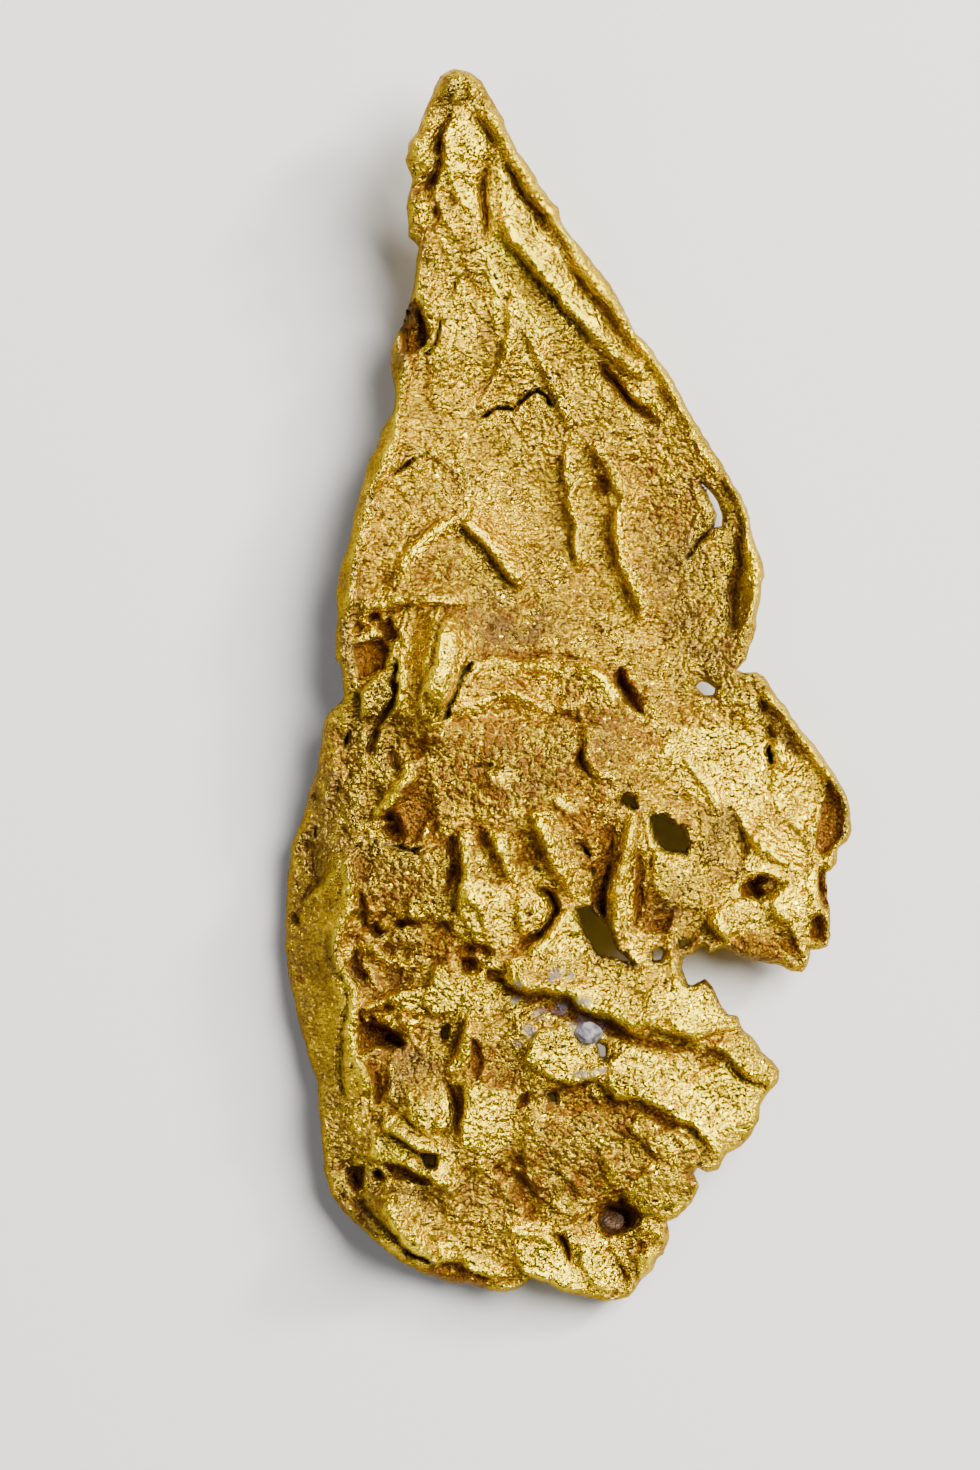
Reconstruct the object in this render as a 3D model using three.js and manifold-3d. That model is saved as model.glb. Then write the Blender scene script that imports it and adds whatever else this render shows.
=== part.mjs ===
// Leaf gold crystal: one natural sheet of crystalline gold, lying on its back.
// The sheet is a crumpled, rimmed leaf: a spear-shaped blade at the top, a dished wing on the right,
// a steep band down the left edge and a torn foot. It is one solid, and two grains of other mineral
// that are caught in it are solids of their own.
// Millimetres. +X is to the right across the leaf, +Y runs up to its tip, +Z is up out of its face.

import * as THREE from 'three';
import * as BufferGeometryUtils from 'three/addons/utils/BufferGeometryUtils.js';
import Module from 'manifold-3d';

const wasm = await Module();
wasm.setup();

// ---------------------------------------------------------------- driving dimensions

const LEAF_WIDTH = 23.2; // a little over the outline's own width, so the sheet passes its edge
const LEAF_LENGTH = 49.6;
const SHEET_THICKNESS = 1.0; // from the face to the back, away from deep hollows
const LEAST_WALL = 0.5; // under the floor of a hollow
const BACK_SHARE = 0.4; // how much of a crease in the face shows through on the back
const WARP_REACH = 1.35; // how far one spot height is felt
const CREASE_FADE = 1.0; // over which a crease rises from nothing at its ends
const CELL = 0.68; // spacing of the face's grid
const CREST_PULL = 0.42; // the share of a cell within which a grid point moves onto a crest
const PLUG_HEIGHT = 16; // of the outline's plug, which cuts the leaf from the sheet
const GRAIN_GAP = 0.05; // between a mineral grain and the gold that it is caught in

// ---------------------------------------------------------------- the leaf's outline and its holes

// From the blade's lower left, up its left rim, over the tip, and down the right side.
const BLADE_EDGE = [
  [-9.05, 0.1], [-9.1, 0.6], [-9.35, 1.1], [-9.35, 2.2], [-9.3, 3.0], [-9.35, 3.9], [-9.15, 4.9],
  [-8.8, 6.1], [-8.6, 7.1], [-8.25, 8.2], [-8.0, 9.0], [-7.55, 10.2], [-7.05, 11.0], [-7.0, 11.8],
  [-7.2, 12.9], [-7.05, 13.8], [-6.7, 14.6], [-6.3, 15.6], [-6.05, 17.5], [-6.45, 17.9],
  [-6.55, 19.2], [-6.35, 20.2], [-6.6, 21.0], [-6.4, 21.7], [-6.1, 22.1], [-5.8, 23.0],
  [-5.4, 23.9], [-5.15, 24.35], [-4.6, 24.6], [-4.0, 24.5], [-3.5, 24.15], [-3.15, 23.55],
  [-2.75, 22.75], [-2.4, 21.9], [-2.1, 21.3], [-1.85, 21.1], [-1.3, 20.1], [-0.5, 19.1],
  [-0.35, 18.6], [0.8, 17.05], [1.7, 16.05], [2.2, 15.0], [2.6, 14.15], [3.3, 13.5], [4.3, 12.0],
  [5.1, 10.5], [6.0, 9.1], [6.9, 7.6], [7.2, 6.8], [7.35, 6.0], [7.7, 5.2], [7.8, 4.4], [7.65, 3.4],
  [7.45, 2.3], [7.05, 1.0], [6.7, 0.68],
];

// The wing, from the waist round to the notch under it.
const WING_EDGE = [
  [6.95, 0.55], [7.45, 0.58], [7.75, 0.35], [8.15, -0.2], [8.6, -0.75], [8.85, -1.2], [9.5, -1.95],
  [10.1, -2.8], [10.7, -3.6], [11.1, -4.35], [11.32, -5.1], [11.35, -5.8], [11.2, -6.22],
  [10.8, -6.45], [10.7, -7.05], [10.5, -7.4], [10.3, -7.5], [10.36, -8.4], [10.42, -9.3],
  [10.48, -10.0], [10.35, -10.42], [9.95, -10.55], [9.66, -10.6], [9.58, -11.2], [9.35, -11.5],
  [8.9, -11.42], [8.2, -11.1], [7.3, -11.06], [6.8, -10.78], [6.1, -10.5], [5.55, -10.7],
  [5.25, -10.42], [4.9, -10.7], [4.55, -10.8],
];

// The lower lobe, from the notch down to the foot's right corner.
const LOBE_EDGE = [
  [4.5, -11.25], [4.75, -11.92], [5.0, -11.9], [5.35, -11.7], [5.7, -12.0], [6.0, -12.7],
  [6.3, -13.1], [6.75, -13.25], [6.95, -13.75], [7.35, -14.05], [7.65, -14.6], [8.1, -14.95],
  [8.45, -15.4], [8.3, -15.95], [7.95, -16.25], [7.65, -16.8], [7.6, -17.4], [7.3, -17.95],
  [6.9, -18.4], [6.25, -18.75], [5.9, -19.35], [5.5, -19.5], [5.1, -19.25], [4.92, -19.45],
  [5.05, -19.72], [5.2, -20.1], [4.9, -20.7], [4.3, -21.33], [3.9, -21.5], [4.05, -22.1],
  [3.8, -22.8], [3.5, -22.95], [3.4, -23.4], [3.05, -23.75], [2.75, -24.05],
];

// Along the foot and up the left side.
const FOOT_AND_LEFT_EDGE = [
  [2.4, -24.55], [1.8, -24.68], [1.35, -24.68], [0.6, -24.5], [-0.3, -24.3], [-0.9, -23.95],
  [-1.5, -23.75], [-1.85, -24.08], [-2.5, -24.28], [-3.1, -24.32], [-4.0, -24.05], [-4.8, -23.98],
  [-5.6, -23.75], [-6.6, -23.2], [-7.6, -22.45], [-8.5, -21.65], [-9.1, -21.1], [-9.6, -20.4],
  [-9.85, -19.4], [-10.0, -18.0], [-10.1, -16.4], [-10.12, -15.85], [-10.5, -14.95],
  [-10.85, -13.6], [-11.1, -12.5], [-11.32, -11.6], [-11.42, -10.6], [-11.44, -9.6], [-11.35, -8.0],
  [-11.25, -6.6], [-10.95, -5.9], [-10.7, -5.1], [-10.4, -4.0], [-10.15, -3.5], [-10.0, -2.3],
  [-9.8, -1.35], [-9.62, -1.04], [-9.4, -0.85], [-9.05, -0.45],
];

const HOLES = [
  // the crescent behind the right rim
  [[5.25, 8.25], [5.9, 7.5], [6.1, 6.9], [6.1, 6.45], [5.8, 6.35], [5.92, 6.9], [5.6, 7.6]],
  // at the waist
  [[5.0, 0.02], [5.3, 0.14], [5.65, 0.06], [5.8, -0.12], [5.72, -0.36], [5.4, -0.36], [5.2, -0.14]],
  // between the spindle and the wing
  [
    [3.24, -5.2], [3.7, -5.14], [4.56, -5.78], [4.79, -6.34], [4.6, -6.6], [3.79, -6.49],
    [3.38, -5.8],
  ],
  // over the spindle
  [[2.03, -4.58], [2.28, -4.32], [2.56, -4.52], [2.65, -4.9], [2.3, -4.72]],
  // left of the spindle's foot
  [
    [0.26, -8.9], [0.83, -8.94], [1.44, -9.55], [1.82, -10.45], [2.62, -11.3], [1.77, -10.83],
    [1.11, -10.74], [0.75, -10.1], [0.45, -9.3],
  ],
  // two small ones beside the notch
  [[3.35, -10.6], [3.56, -10.48], [3.75, -10.65], [3.62, -10.95], [3.36, -10.98]],
  [[4.38, -10.2], [4.58, -10.14], [4.79, -10.2], [4.5, -10.46]],
  // pinholes in the lower half
  [[-5.1, -13.7], [-4.9, -13.62], [-4.9, -14.05], [-5.08, -14.05]],
  [[-5.9, -18.72], [-5.42, -18.8], [-5.42, -19.2], [-5.8, -19.12]],
  [[1.12, -14.2], [1.4, -14.42], [1.36, -14.85], [1.2, -14.75]],
  [[-0.92, -16.35], [-0.62, -16.35], [-0.5, -16.62], [-0.7, -16.62]],
];

// ---------------------------------------------------------------- the height of the face

// Spot heights of the smooth sheet: x, y and the height of its face over the ground.
const SPOT_HEIGHTS = [
  // the blade, from the tip down
  [-4.6, 24.3, 4.4], [-4.0, 22.4, 5.0], [-6.0, 21.4, 4.0], [-2.6, 21.4, 4.1], [-6.1, 18.6, 3.8],
  [-3.6, 18.6, 3.9], [-0.8, 18.4, 3.8], [-6.2, 15.0, 3.5], [-3.0, 15.0, 2.4], [1.7, 15.0, 3.3],
  [-6.7, 11.3, 3.4], [-3.0, 11.0, 1.6], [1.0, 11.3, 1.7], [4.5, 11.2, 2.7], [-8.2, 7.2, 3.9],
  [-5.2, 7.6, 2.5], [-1.2, 7.4, 1.1], [2.8, 7.2, 1.0], [5.3, 7.0, 1.5], [7.1, 7.0, 2.4],
  [-9.0, 3.2, 3.9], [-6.0, 3.8, 3.3], [-2.2, 3.6, 2.3], [1.8, 3.4, 1.5], [5.2, 3.6, 1.4],
  [7.5, 3.6, 2.5],
  // the waist
  [-8.6, 0.2, 3.4], [-5.6, 0.4, 4.4], [-2.2, 0.2, 3.4], [1.2, 0.4, 3.0], [4.4, 0.4, 2.3],
  [7.4, 0.2, 3.2],
  // the middle and the wing
  [-9.6, -3.0, 2.3], [-7.4, -3.0, 3.4], [-4.6, -3.0, 3.9], [-1.0, -3.0, 3.9], [2.2, -2.8, 3.9],
  [4.6, -3.0, 2.8], [7.0, -3.6, 1.8], [9.4, -4.2, 1.1], [11.0, -4.6, 2.0], [-10.8, -6.0, 1.6],
  [-8.8, -6.0, 3.8], [-6.5, -5.4, 2.6], [-4.0, -6.0, 3.9], [-1.0, -6.0, 4.1], [2.3, -7.0, 4.1],
  [5.0, -6.8, 2.9], [7.6, -6.2, 1.9], [11.0, -6.0, 2.1], [4.0, -9.0, 2.8], [6.5, -9.3, 3.0],
  [8.2, -1.4, 1.9],
  [9.0, -8.5, 3.3], [10.3, -8.5, 3.6], [8.5, -10.8, 2.0],
  // the left band and the hollows beside it
  [-11.2, -9.0, 1.4], [-8.9, -8.8, 3.8], [-7.6, -9.3, 2.5], [-5.0, -9.0, 3.4], [-3.0, -9.0, 4.4],
  [-1.0, -9.0, 3.9], [0.8, -8.0, 3.0], [-11.0, -12.0, 1.4], [-8.8, -12.0, 3.8], [-7.0, -11.2, 2.2],
  [-4.5, -12.0, 3.6], [-1.5, -12.0, 3.9], [1.5, -12.0, 4.1], [4.5, -12.5, 4.5],
  [-10.3, -15.0, 1.5], [-8.5, -15.0, 3.7], [-7.0, -14.2, 1.7], [-4.3, -14.0, 3.6],
  [-1.5, -14.5, 3.4], [1.5, -14.5, 4.1], [5.0, -15.5, 4.7], [7.6, -15.3, 3.6],
  // the foot
  [-9.6, -18.0, 2.0], [-7.8, -17.5, 3.0], [-5.2, -17.3, 4.1], [-2.0, -17.5, 3.1],
  [1.5, -17.8, 2.3], [4.0, -19.0, 2.6], [6.3, -17.3, 4.3], [7.3, -17.3, 3.4], [-9.0, -20.8, 1.6],
  [-6.8, -21.3, 3.6], [-4.0, -21.0, 2.7], [-1.5, -21.0, 2.2], [2.0, -21.0, 1.5],
  [4.5, -20.7, 2.3], [-5.5, -23.6, 1.1], [-3.2, -23.6, 1.4], [0.0, -22.8, 0.8], [2.2, -23.2, 0.8],
  [3.2, -23.0, 1.1],
];

// Ridges and grooves: height, reach to the left of the line, reach to its right, and the line.
// A line runs down or to the right, so its left is the leaf's right side, or the side nearer the tip.
// One steep side and one long side make a step in the sheet.
const CREASES = [
  // the blade: its raised rims, and the groove inside the right one
  [1.2, 0.6, 0.7, [
    [-3.5, 23.4], [-2.5, 21.5], [-1.0, 19.2], [0.3, 17.2], [1.9, 15.0], [3.5, 12.9], [4.8, 10.4],
    [6.2, 8.2], [6.9, 6.8], [7.4, 5.0], [7.3, 3.3], [6.9, 1.5],
  ]],
  [-0.6, 0.45, 0.9, [
    [-3.9, 23.2], [-3.3, 21.9], [-2.0, 19.8], [0.1, 16.8], [1.8, 14.1], [3.0, 13.1], [4.5, 10.8],
    [5.9, 8.9], [6.5, 7.3], [6.75, 5.2], [6.6, 3.4], [6.5, 1.9],
  ]],
  [0.8, 1.0, 0.6, [
    [-5.9, 17.0], [-6.0, 15.3], [-6.7, 12.6], [-7.1, 10.0], [-7.9, 8.2], [-8.4, 6.2], [-8.8, 4.2],
    [-8.95, 2.6],
  ]],
  // the blade: steps and troughs in its face
  [0.7, 1.2, 0.45, [[-3.4, 18.4], [-2.4, 17.7], [-1.3, 16.4], [0.0, 15.0], [0.9, 14.0], [3.1, 12.2]]],
  [-0.6, 0.5, 0.5, [[1.2, 13.1], [2.2, 11.5], [3.7, 10.4]]],
  [-0.8, 0.6, 0.5, [[-4.8, 23.2], [-5.2, 21.5], [-5.6, 19.8], [-5.3, 18.2]]],
  [-0.6, 0.5, 0.5, [[-3.0, 21.3], [-3.6, 20.1], [-3.35, 17.6]]],
  [0.6, 1.6, 0.5, [[-0.4, 9.6], [-0.2, 7.4], [0.0, 6.0], [0.25, 4.5]]],
  [0.9, 1.8, 0.55, [[0.5, 9.9], [1.6, 8.2], [1.7, 6.3], [2.1, 4.4], [2.7, 3.0], [2.6, 2.3]]],
  [0.8, 0.5, 1.6, [[-7.4, 4.2], [-6.3, 5.7], [-4.5, 7.0], [-4.1, 7.0]]],
  [1.0, 1.6, 0.6, [[-4.7, 7.2], [-3.9, 6.3], [-2.5, 4.7], [-1.7, 3.7]]],
  [0.7, 1.2, 0.5, [[-8.6, 2.8], [-7.0, 3.4], [-5.0, 3.3], [-3.8, 3.2]]],
  // the waist: the horn, the fissure left of it, and the arched folds
  [1.7, 0.9, 0.8, [[-4.8, 3.1], [-5.1, 1.4], [-5.5, 0.0], [-5.6, -1.5], [-5.75, -2.9]]],
  [-0.8, 0.5, 0.5, [[-7.0, 0.9], [-7.15, -0.5], [-7.6, -1.7], [-8.1, -3.0]]],
  [0.8, 0.5, 1.1, [[0.1, 1.1], [1.0, 0.8], [1.7, 0.0], [2.2, -1.0]]],
  [-0.6, 0.6, 0.5, [[2.0, 1.0], [2.1, 0.0], [3.0, -1.2]]],
  [0.5, 0.6, 0.9, [[-4.3, -0.6], [-2.5, -0.1], [-1.0, -0.8]]],
  // the middle: steps down to the left, and the crest over the brown hollows
  [0.8, 0.5, 0.6, [[-7.8, -5.5], [-6.9, -4.4], [-6.2, -3.3], [-5.7, -2.7]]],
  [0.9, 1.8, 0.55, [[-4.3, -5.6], [-4.25, -7.5], [-4.3, -9.2]]],
  [0.5, 1.0, 0.5, [[-3.4, -5.5], [-2.8, -6.7], [-2.2, -7.9]]],
  [0.7, 1.2, 0.5, [[-1.8, -5.0], [-1.1, -6.2], [-0.6, -7.2], [0.0, -8.2]]],
  [-0.8, 0.5, 0.5, [[-2.4, -10.6], [-1.4, -10.1], [-0.6, -9.2], [-0.7, -8.3], [-1.6, -7.9]]],
  [1.0, 0.6, 0.6, [[2.6, -4.9], [2.2, -6.3], [1.9, -8.0], [1.85, -9.6], [2.2, -10.4]]],
  [0.6, 1.3, 0.5, [[5.4, -8.7], [5.8, -9.8], [6.6, -10.5]]],
  // the wing's curled rim, and the fold across its foot
  [1.6, 0.45, 0.9, [[7.6, 0.2], [9.1, -1.7], [10.3, -3.3], [11.05, -4.6], [11.15, -6.0]]],
  [0.5, 1.0, 0.5, [[6.8, -5.6], [7.6, -6.6], [8.4, -7.1]]],
  [-0.6, 0.5, 0.5, [[10.0, -7.2], [10.1, -8.5], [10.3, -9.2]]],
  // the left band's crest, and the webs between its hollows
  [1.0, 0.6, 1.8, [
    [-8.9, -6.4], [-8.76, -8.1], [-8.85, -9.1], [-9.37, -9.9], [-9.3, -10.8], [-8.7, -12.0],
    [-8.45, -13.5], [-8.3, -15.0], [-8.0, -16.5],
  ]],
  [0.8, 0.5, 0.5, [[-8.3, -12.95], [-7.2, -12.4], [-5.8, -11.9]]],
  [-0.8, 0.5, 0.5, [[-4.2, -13.2], [-4.6, -14.2], [-5.0, -15.3]]],
  [0.7, 0.5, 0.5, [[-4.0, -13.3], [-4.1, -14.5], [-4.2, -15.6]]],
  [-0.9, 0.6, 0.6, [[-5.0, -15.3], [-4.65, -16.7], [-4.5, -18.0]]],
  // the step across the lower half, the lobe's edge, and the foot
  [0.8, 1.5, 0.5, [
    [-2.9, -11.7], [-1.7, -12.2], [0.0, -12.25], [0.9, -13.1], [2.5, -13.6], [4.1, -13.85],
    [5.4, -14.1],
  ]],
  [1.0, 1.6, 0.5, [
    [-0.2, -15.8], [1.1, -15.5], [1.6, -16.3], [2.8, -16.5], [4.7, -17.4], [5.5, -18.2],
    [5.8, -18.9],
  ]],
  [0.5, 1.0, 0.6, [[-6.9, -19.0], [-5.5, -19.9], [-4.2, -20.3]]],
  [1.0, 1.2, 0.6, [[-7.7, -20.0], [-7.1, -21.2], [-6.5, -22.3], [-5.6, -23.1], [-4.7, -23.2]]],
];

// Lumps and hollows: centre x and y, reach along x and y, and height.
const BOSSES = [
  [-4.4, 24.0, 0.9, 0.7, 0.6],
  [-5.9, 21.5, 0.9, 1.1, 0.6],
  [-6.2, 18.8, 0.8, 1.0, 0.5],
  [-6.3, 14.0, 0.8, 1.3, -1.1],
  [-7.5, 2.3, 1.1, 0.8, -0.8],
  [-7.2, -5.8, 0.8, 0.9, -0.9],
  [-7.6, -9.7, 1.0, 1.0, -0.7],
  [-7.4, -11.0, 2.0, 1.4, -0.6],
  [-7.3, -13.8, 1.1, 1.1, -1.2],
  [-8.6, -19.7, 0.7, 0.9, -1.2],
  [-7.7, -19.5, 0.6, 0.7, -0.7],
  [7.3, -8.1, 0.6, 0.8, -0.9],
  [-3.8, -11.2, 0.7, 0.9, -0.7],
  [1.9, -21.2, 1.1, 1.1, -1.1],
  [3.3, -21.9, 0.8, 0.7, 0.6],
  [3.15, -23.0, 0.6, 0.7, 0.5],
];

// Ridges that stand out of the back, given as the creases of the face are, in the same view.
const BACK_CREASES = [
  [0.8, 0.7, 1.4, [[-5.6, 20.5], [-5.9, 16.0], [-5.4, 11.0], [-6.2, 6.0]]],
  [0.7, 1.3, 0.7, [[0.5, 13.0], [-1.5, 8.0], [-2.4, 3.0]]],
  [0.7, 0.7, 1.2, [[5.8, 7.0], [4.2, 3.0], [4.6, -1.0]]],
  [0.9, 1.5, 0.8, [[-7.2, 1.0], [-6.4, -4.0], [-7.6, -9.0], [-6.8, -14.0]]],
  [0.8, 0.8, 1.5, [[-2.2, -1.5], [0.6, -4.5], [1.2, -8.0]]],
  [0.6, 1.0, 0.7, [[5.5, -3.0], [7.8, -6.2], [8.2, -9.5]]],
  [0.9, 0.8, 1.4, [[-3.4, -10.5], [-1.0, -14.0], [2.8, -16.2]]],
  [0.7, 1.2, 0.7, [[-7.4, -18.5], [-4.0, -19.5], [-0.5, -20.2]]],
];

// Where the leaf touches the ground its back is worn flat: centre x and y, and reach along x and y.
const FEET = [
  [0.8, 7.3, 3.0, 2.2],
  [-9.9, -10.5, 1.5, 3.2],
  [8.2, -4.0, 2.2, 2.4],
  [0.8, -22.6, 2.4, 1.6],
];
const FOOT_FLAT = 0.55; // the share of a foot's reach that is flat

// ---------------------------------------------------------------- the sheet

function sheetHeight(x, y) {
  let sum = 0;
  let weights = 0;
  for (const [spotX, spotY, height] of SPOT_HEIGHTS) {
    const distance = Math.hypot(x - spotX, y - spotY) / WARP_REACH;
    const weight = Math.exp(-0.5 * distance * distance) + 1e-9;
    sum += weight * height;
    weights += weight;
  }
  return sum / weights;
}

// The nearest point of a line: where it is, how far off and on which side, and how far from the ends.
function nearestOnLine(points, x, y) {
  const lengths = points.slice(1).map(([bx, by], i) => Math.hypot(bx - points[i][0], by - points[i][1]));
  const whole = lengths.reduce((sum, length) => sum + length, 0);
  let best = { distance: Infinity };
  let before = 0;
  lengths.forEach((length, i) => {
    const [ax, ay] = points[i];
    const ux = (points[i + 1][0] - ax) / length;
    const uy = (points[i + 1][1] - ay) / length;
    const along = THREE.MathUtils.clamp((x - ax) * ux + (y - ay) * uy, 0, length);
    const footX = ax + ux * along;
    const footY = ay + uy * along;
    const distance = Math.hypot(x - footX, y - footY);
    if (distance < best.distance) {
      const left = ux * (y - ay) - uy * (x - ax) > 0;
      const fromEnd = Math.min(before + along, whole - before - along);
      best = { distance, left, fromEnd, footX, footY };
    }
    before += length;
  });
  return best;
}

function creaseHeight(creases, x, y) {
  let sum = 0;
  for (const [height, leftReach, rightReach, points] of creases) {
    const near = nearestOnLine(points, x, y);
    const reach = near.left ? leftReach : rightReach;
    if (near.distance >= reach) continue;
    const fade = THREE.MathUtils.smoothstep(near.fromEnd, 0, CREASE_FADE);
    sum += height * fade * (1 - near.distance / reach) ** 1.5;
  }
  return sum;
}

function bossHeight(x, y) {
  let sum = 0;
  for (const [centreX, centreY, reachX, reachY, height] of BOSSES) {
    const distance = Math.hypot((x - centreX) / reachX, (y - centreY) / reachY);
    sum += height * (1 - THREE.MathUtils.smoothstep(distance, 0, 1));
  }
  return sum;
}

function faceHeight(x, y) {
  const height = sheetHeight(x, y) + creaseHeight(CREASES, x, y) + bossHeight(x, y);
  return Math.max(LEAST_WALL, height);
}

// The back follows the sheet, bulges where a hollow is deep, and comes down to the ground at its feet.
function backHeight(x, y) {
  const sheet = sheetHeight(x, y) - SHEET_THICKNESS + BACK_SHARE * creaseHeight(CREASES, x, y);
  const relief = creaseHeight(BACK_CREASES, x, y);
  let height = Math.max(0, Math.min(sheet - relief, faceHeight(x, y) - LEAST_WALL));
  for (const [centreX, centreY, reachX, reachY] of FEET) {
    const distance = Math.hypot((x - centreX) / reachX, (y - centreY) / reachY);
    height *= THREE.MathUtils.smoothstep(distance, FOOT_FLAT, 1);
  }
  return height;
}

// ---------------------------------------------------------------- solids

function toManifold(geometry) {
  const bare = geometry.clone();
  bare.deleteAttribute('normal');
  bare.deleteAttribute('uv');
  const merged = BufferGeometryUtils.mergeVertices(bare, 1e-5);
  const mesh = new wasm.Mesh({
    numProp: 3,
    vertProperties: new Float32Array(merged.attributes.position.array),
    triVerts: new Uint32Array(merged.index.array),
  });
  return new wasm.Manifold(mesh);
}

function toGeometry(manifold) {
  const mesh = manifold.getMesh();
  const geometry = new THREE.BufferGeometry();
  geometry.setAttribute('position', new THREE.BufferAttribute(mesh.vertProperties, 3));
  geometry.setIndex(new THREE.BufferAttribute(mesh.triVerts, 1));
  geometry.computeVertexNormals();
  return geometry;
}

// A grid point near a crest moves onto it, so that the crest is a run of edges.
function onNearestCrest(x, y) {
  let best = { distance: CREST_PULL * CELL, footX: x, footY: y };
  for (const crease of CREASES) {
    const near = nearestOnLine(crease[3], x, y);
    if (near.distance < best.distance && near.fromEnd > 0) best = near;
  }
  return [best.footX, best.footY];
}

// Each cell of a face is split along the diagonal that lies nearer to the true height at its middle.
function splitAlongBetterDiagonal(block, trueHeight, isOnFace) {
  const { position } = block.attributes;
  const { index } = block;
  for (let i = 0; i < index.count; i += 6) {
    const [a, b, d, c] = [index.getX(i), index.getX(i + 1), index.getX(i + 2), index.getX(i + 4)];
    if (![a, b, c, d].every(isOnFace)) continue;
    const middleX = [a, b, c, d].reduce((sum, corner) => sum + position.getX(corner) / 4, 0);
    const middleY = [a, b, c, d].reduce((sum, corner) => sum + position.getY(corner) / 4, 0);
    const target = trueHeight(middleX, middleY);
    const missBD = Math.abs((position.getZ(b) + position.getZ(d)) / 2 - target);
    const missAC = Math.abs((position.getZ(a) + position.getZ(c)) / 2 - target);
    if (missAC < missBD) [a, b, c, a, c, d].forEach((corner, k) => index.setX(i + k, corner));
  }
}

// A block whose top is the leaf's face and whose bottom is its back, wider than the leaf all round.
function crumpledSheet() {
  const across = Math.round(LEAF_WIDTH / CELL);
  const along = Math.round(LEAF_LENGTH / CELL);
  const block = new THREE.BoxGeometry(LEAF_WIDTH, LEAF_LENGTH, 1, across, along, 1);
  const { position, normal } = block.attributes;
  for (let i = 0; i < position.count; i += 1) {
    const [x, y] = onNearestCrest(position.getX(i), position.getY(i));
    const height = position.getZ(i) > 0 ? faceHeight(x, y) : backHeight(x, y);
    position.setXYZ(i, x, y, height);
  }
  splitAlongBetterDiagonal(block, faceHeight, (corner) => normal.getZ(corner) > 0);
  splitAlongBetterDiagonal(block, backHeight, (corner) => normal.getZ(corner) < 0);
  return block;
}

// The outline as a tall plug, with the leaf's holes through it.
function outlinePlug() {
  const clockwise = [...BLADE_EDGE, ...WING_EDGE, ...LOBE_EDGE, ...FOOT_AND_LEFT_EDGE];
  // Turned round, because an extruded shape sets its holes right only inside a counter-clockwise edge.
  const shape = new THREE.Shape(clockwise.reverse().map(([x, y]) => new THREE.Vector2(x, y)));
  shape.holes = HOLES.map((hole) => new THREE.Path(hole.map(([x, y]) => new THREE.Vector2(x, y))));
  const plug = new THREE.ExtrudeGeometry(shape, { depth: PLUG_HEIGHT, bevelEnabled: false });
  return plug.translate(0, 0, -PLUG_HEIGHT / 4);
}

// A rounded, lumpy grain, with its underside cut to the gold below it.
function grain(radii, lumps, centre) {
  const blob = new THREE.IcosahedronGeometry(1, 3);
  const { position } = blob.attributes;
  const point = new THREE.Vector3();
  for (let i = 0; i < position.count; i += 1) {
    point.fromBufferAttribute(position, i);
    const swell = 1 + lumps * Math.sin(4 * point.x + 1) * Math.sin(5 * point.y + 2) * Math.cos(4 * point.z);
    position.setXYZ(i, point.x * swell * radii[0], point.y * swell * radii[1], point.z * swell * radii[2]);
  }
  return blob.translate(...centre);
}

const gold = new THREE.MeshStandardMaterial({ color: 0xc8a450, roughness: 0.42, metalness: 1 });
const ironStain = new THREE.MeshStandardMaterial({ color: 0x5a3a16, roughness: 0.7, metalness: 0 });
const greyCrust = new THREE.MeshStandardMaterial({ color: 0x8b8688, roughness: 0.8, metalness: 0 });

const sheet = crumpledSheet();

function makeLeaf() {
  const solid = toManifold(sheet).intersect(toManifold(outlinePlug()));
  const leaf = new THREE.Mesh(toGeometry(solid), gold);
  leaf.name = 'gold_leaf';
  return leaf;
}

function makeGrain(name, material, radii, lumps, x, y, rise) {
  const centre = [x, y, faceHeight(x, y) + rise];
  const liftedSheet = sheet.clone().translate(0, 0, GRAIN_GAP);
  const solid = toManifold(grain(radii, lumps, centre)).subtract(toManifold(liftedSheet));
  const mesh = new THREE.Mesh(toGeometry(solid), material);
  mesh.name = name;
  return mesh;
}

const group = new THREE.Group();
group.add(makeLeaf());
group.add(makeGrain('brown_grain', ironStain, [0.62, 0.6, 0.5], 0.12, 1.6, -21.55, 0.3));
group.add(makeGrain('grey_crust', greyCrust, [0.6, 0.5, 0.3], 0.2, 0.75, -13.8, 0.1));

export default group;
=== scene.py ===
import math

import bmesh
import bpy
import numpy as np
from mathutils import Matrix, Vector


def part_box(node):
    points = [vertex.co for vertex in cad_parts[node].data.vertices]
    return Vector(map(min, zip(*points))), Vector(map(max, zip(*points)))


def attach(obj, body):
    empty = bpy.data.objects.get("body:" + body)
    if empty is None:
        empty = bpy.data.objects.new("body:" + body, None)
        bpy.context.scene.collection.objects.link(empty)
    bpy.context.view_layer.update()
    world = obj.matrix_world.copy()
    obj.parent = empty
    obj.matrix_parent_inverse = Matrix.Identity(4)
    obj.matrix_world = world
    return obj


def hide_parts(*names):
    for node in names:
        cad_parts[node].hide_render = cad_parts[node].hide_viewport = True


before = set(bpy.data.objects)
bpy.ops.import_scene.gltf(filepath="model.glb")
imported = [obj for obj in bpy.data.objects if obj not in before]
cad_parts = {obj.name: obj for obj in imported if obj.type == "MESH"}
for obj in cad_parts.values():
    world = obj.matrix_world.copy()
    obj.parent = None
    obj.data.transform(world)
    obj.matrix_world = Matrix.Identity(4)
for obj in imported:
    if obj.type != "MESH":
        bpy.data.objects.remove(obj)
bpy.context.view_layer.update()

# ---------------------------------------------------------------- stage
# A pale matt floor, a soft key light from the right with a small bright one beside it for the sparkle,
# a weak fill, and a camera that looks straight down on the leaf as it lies on its back.

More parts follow.
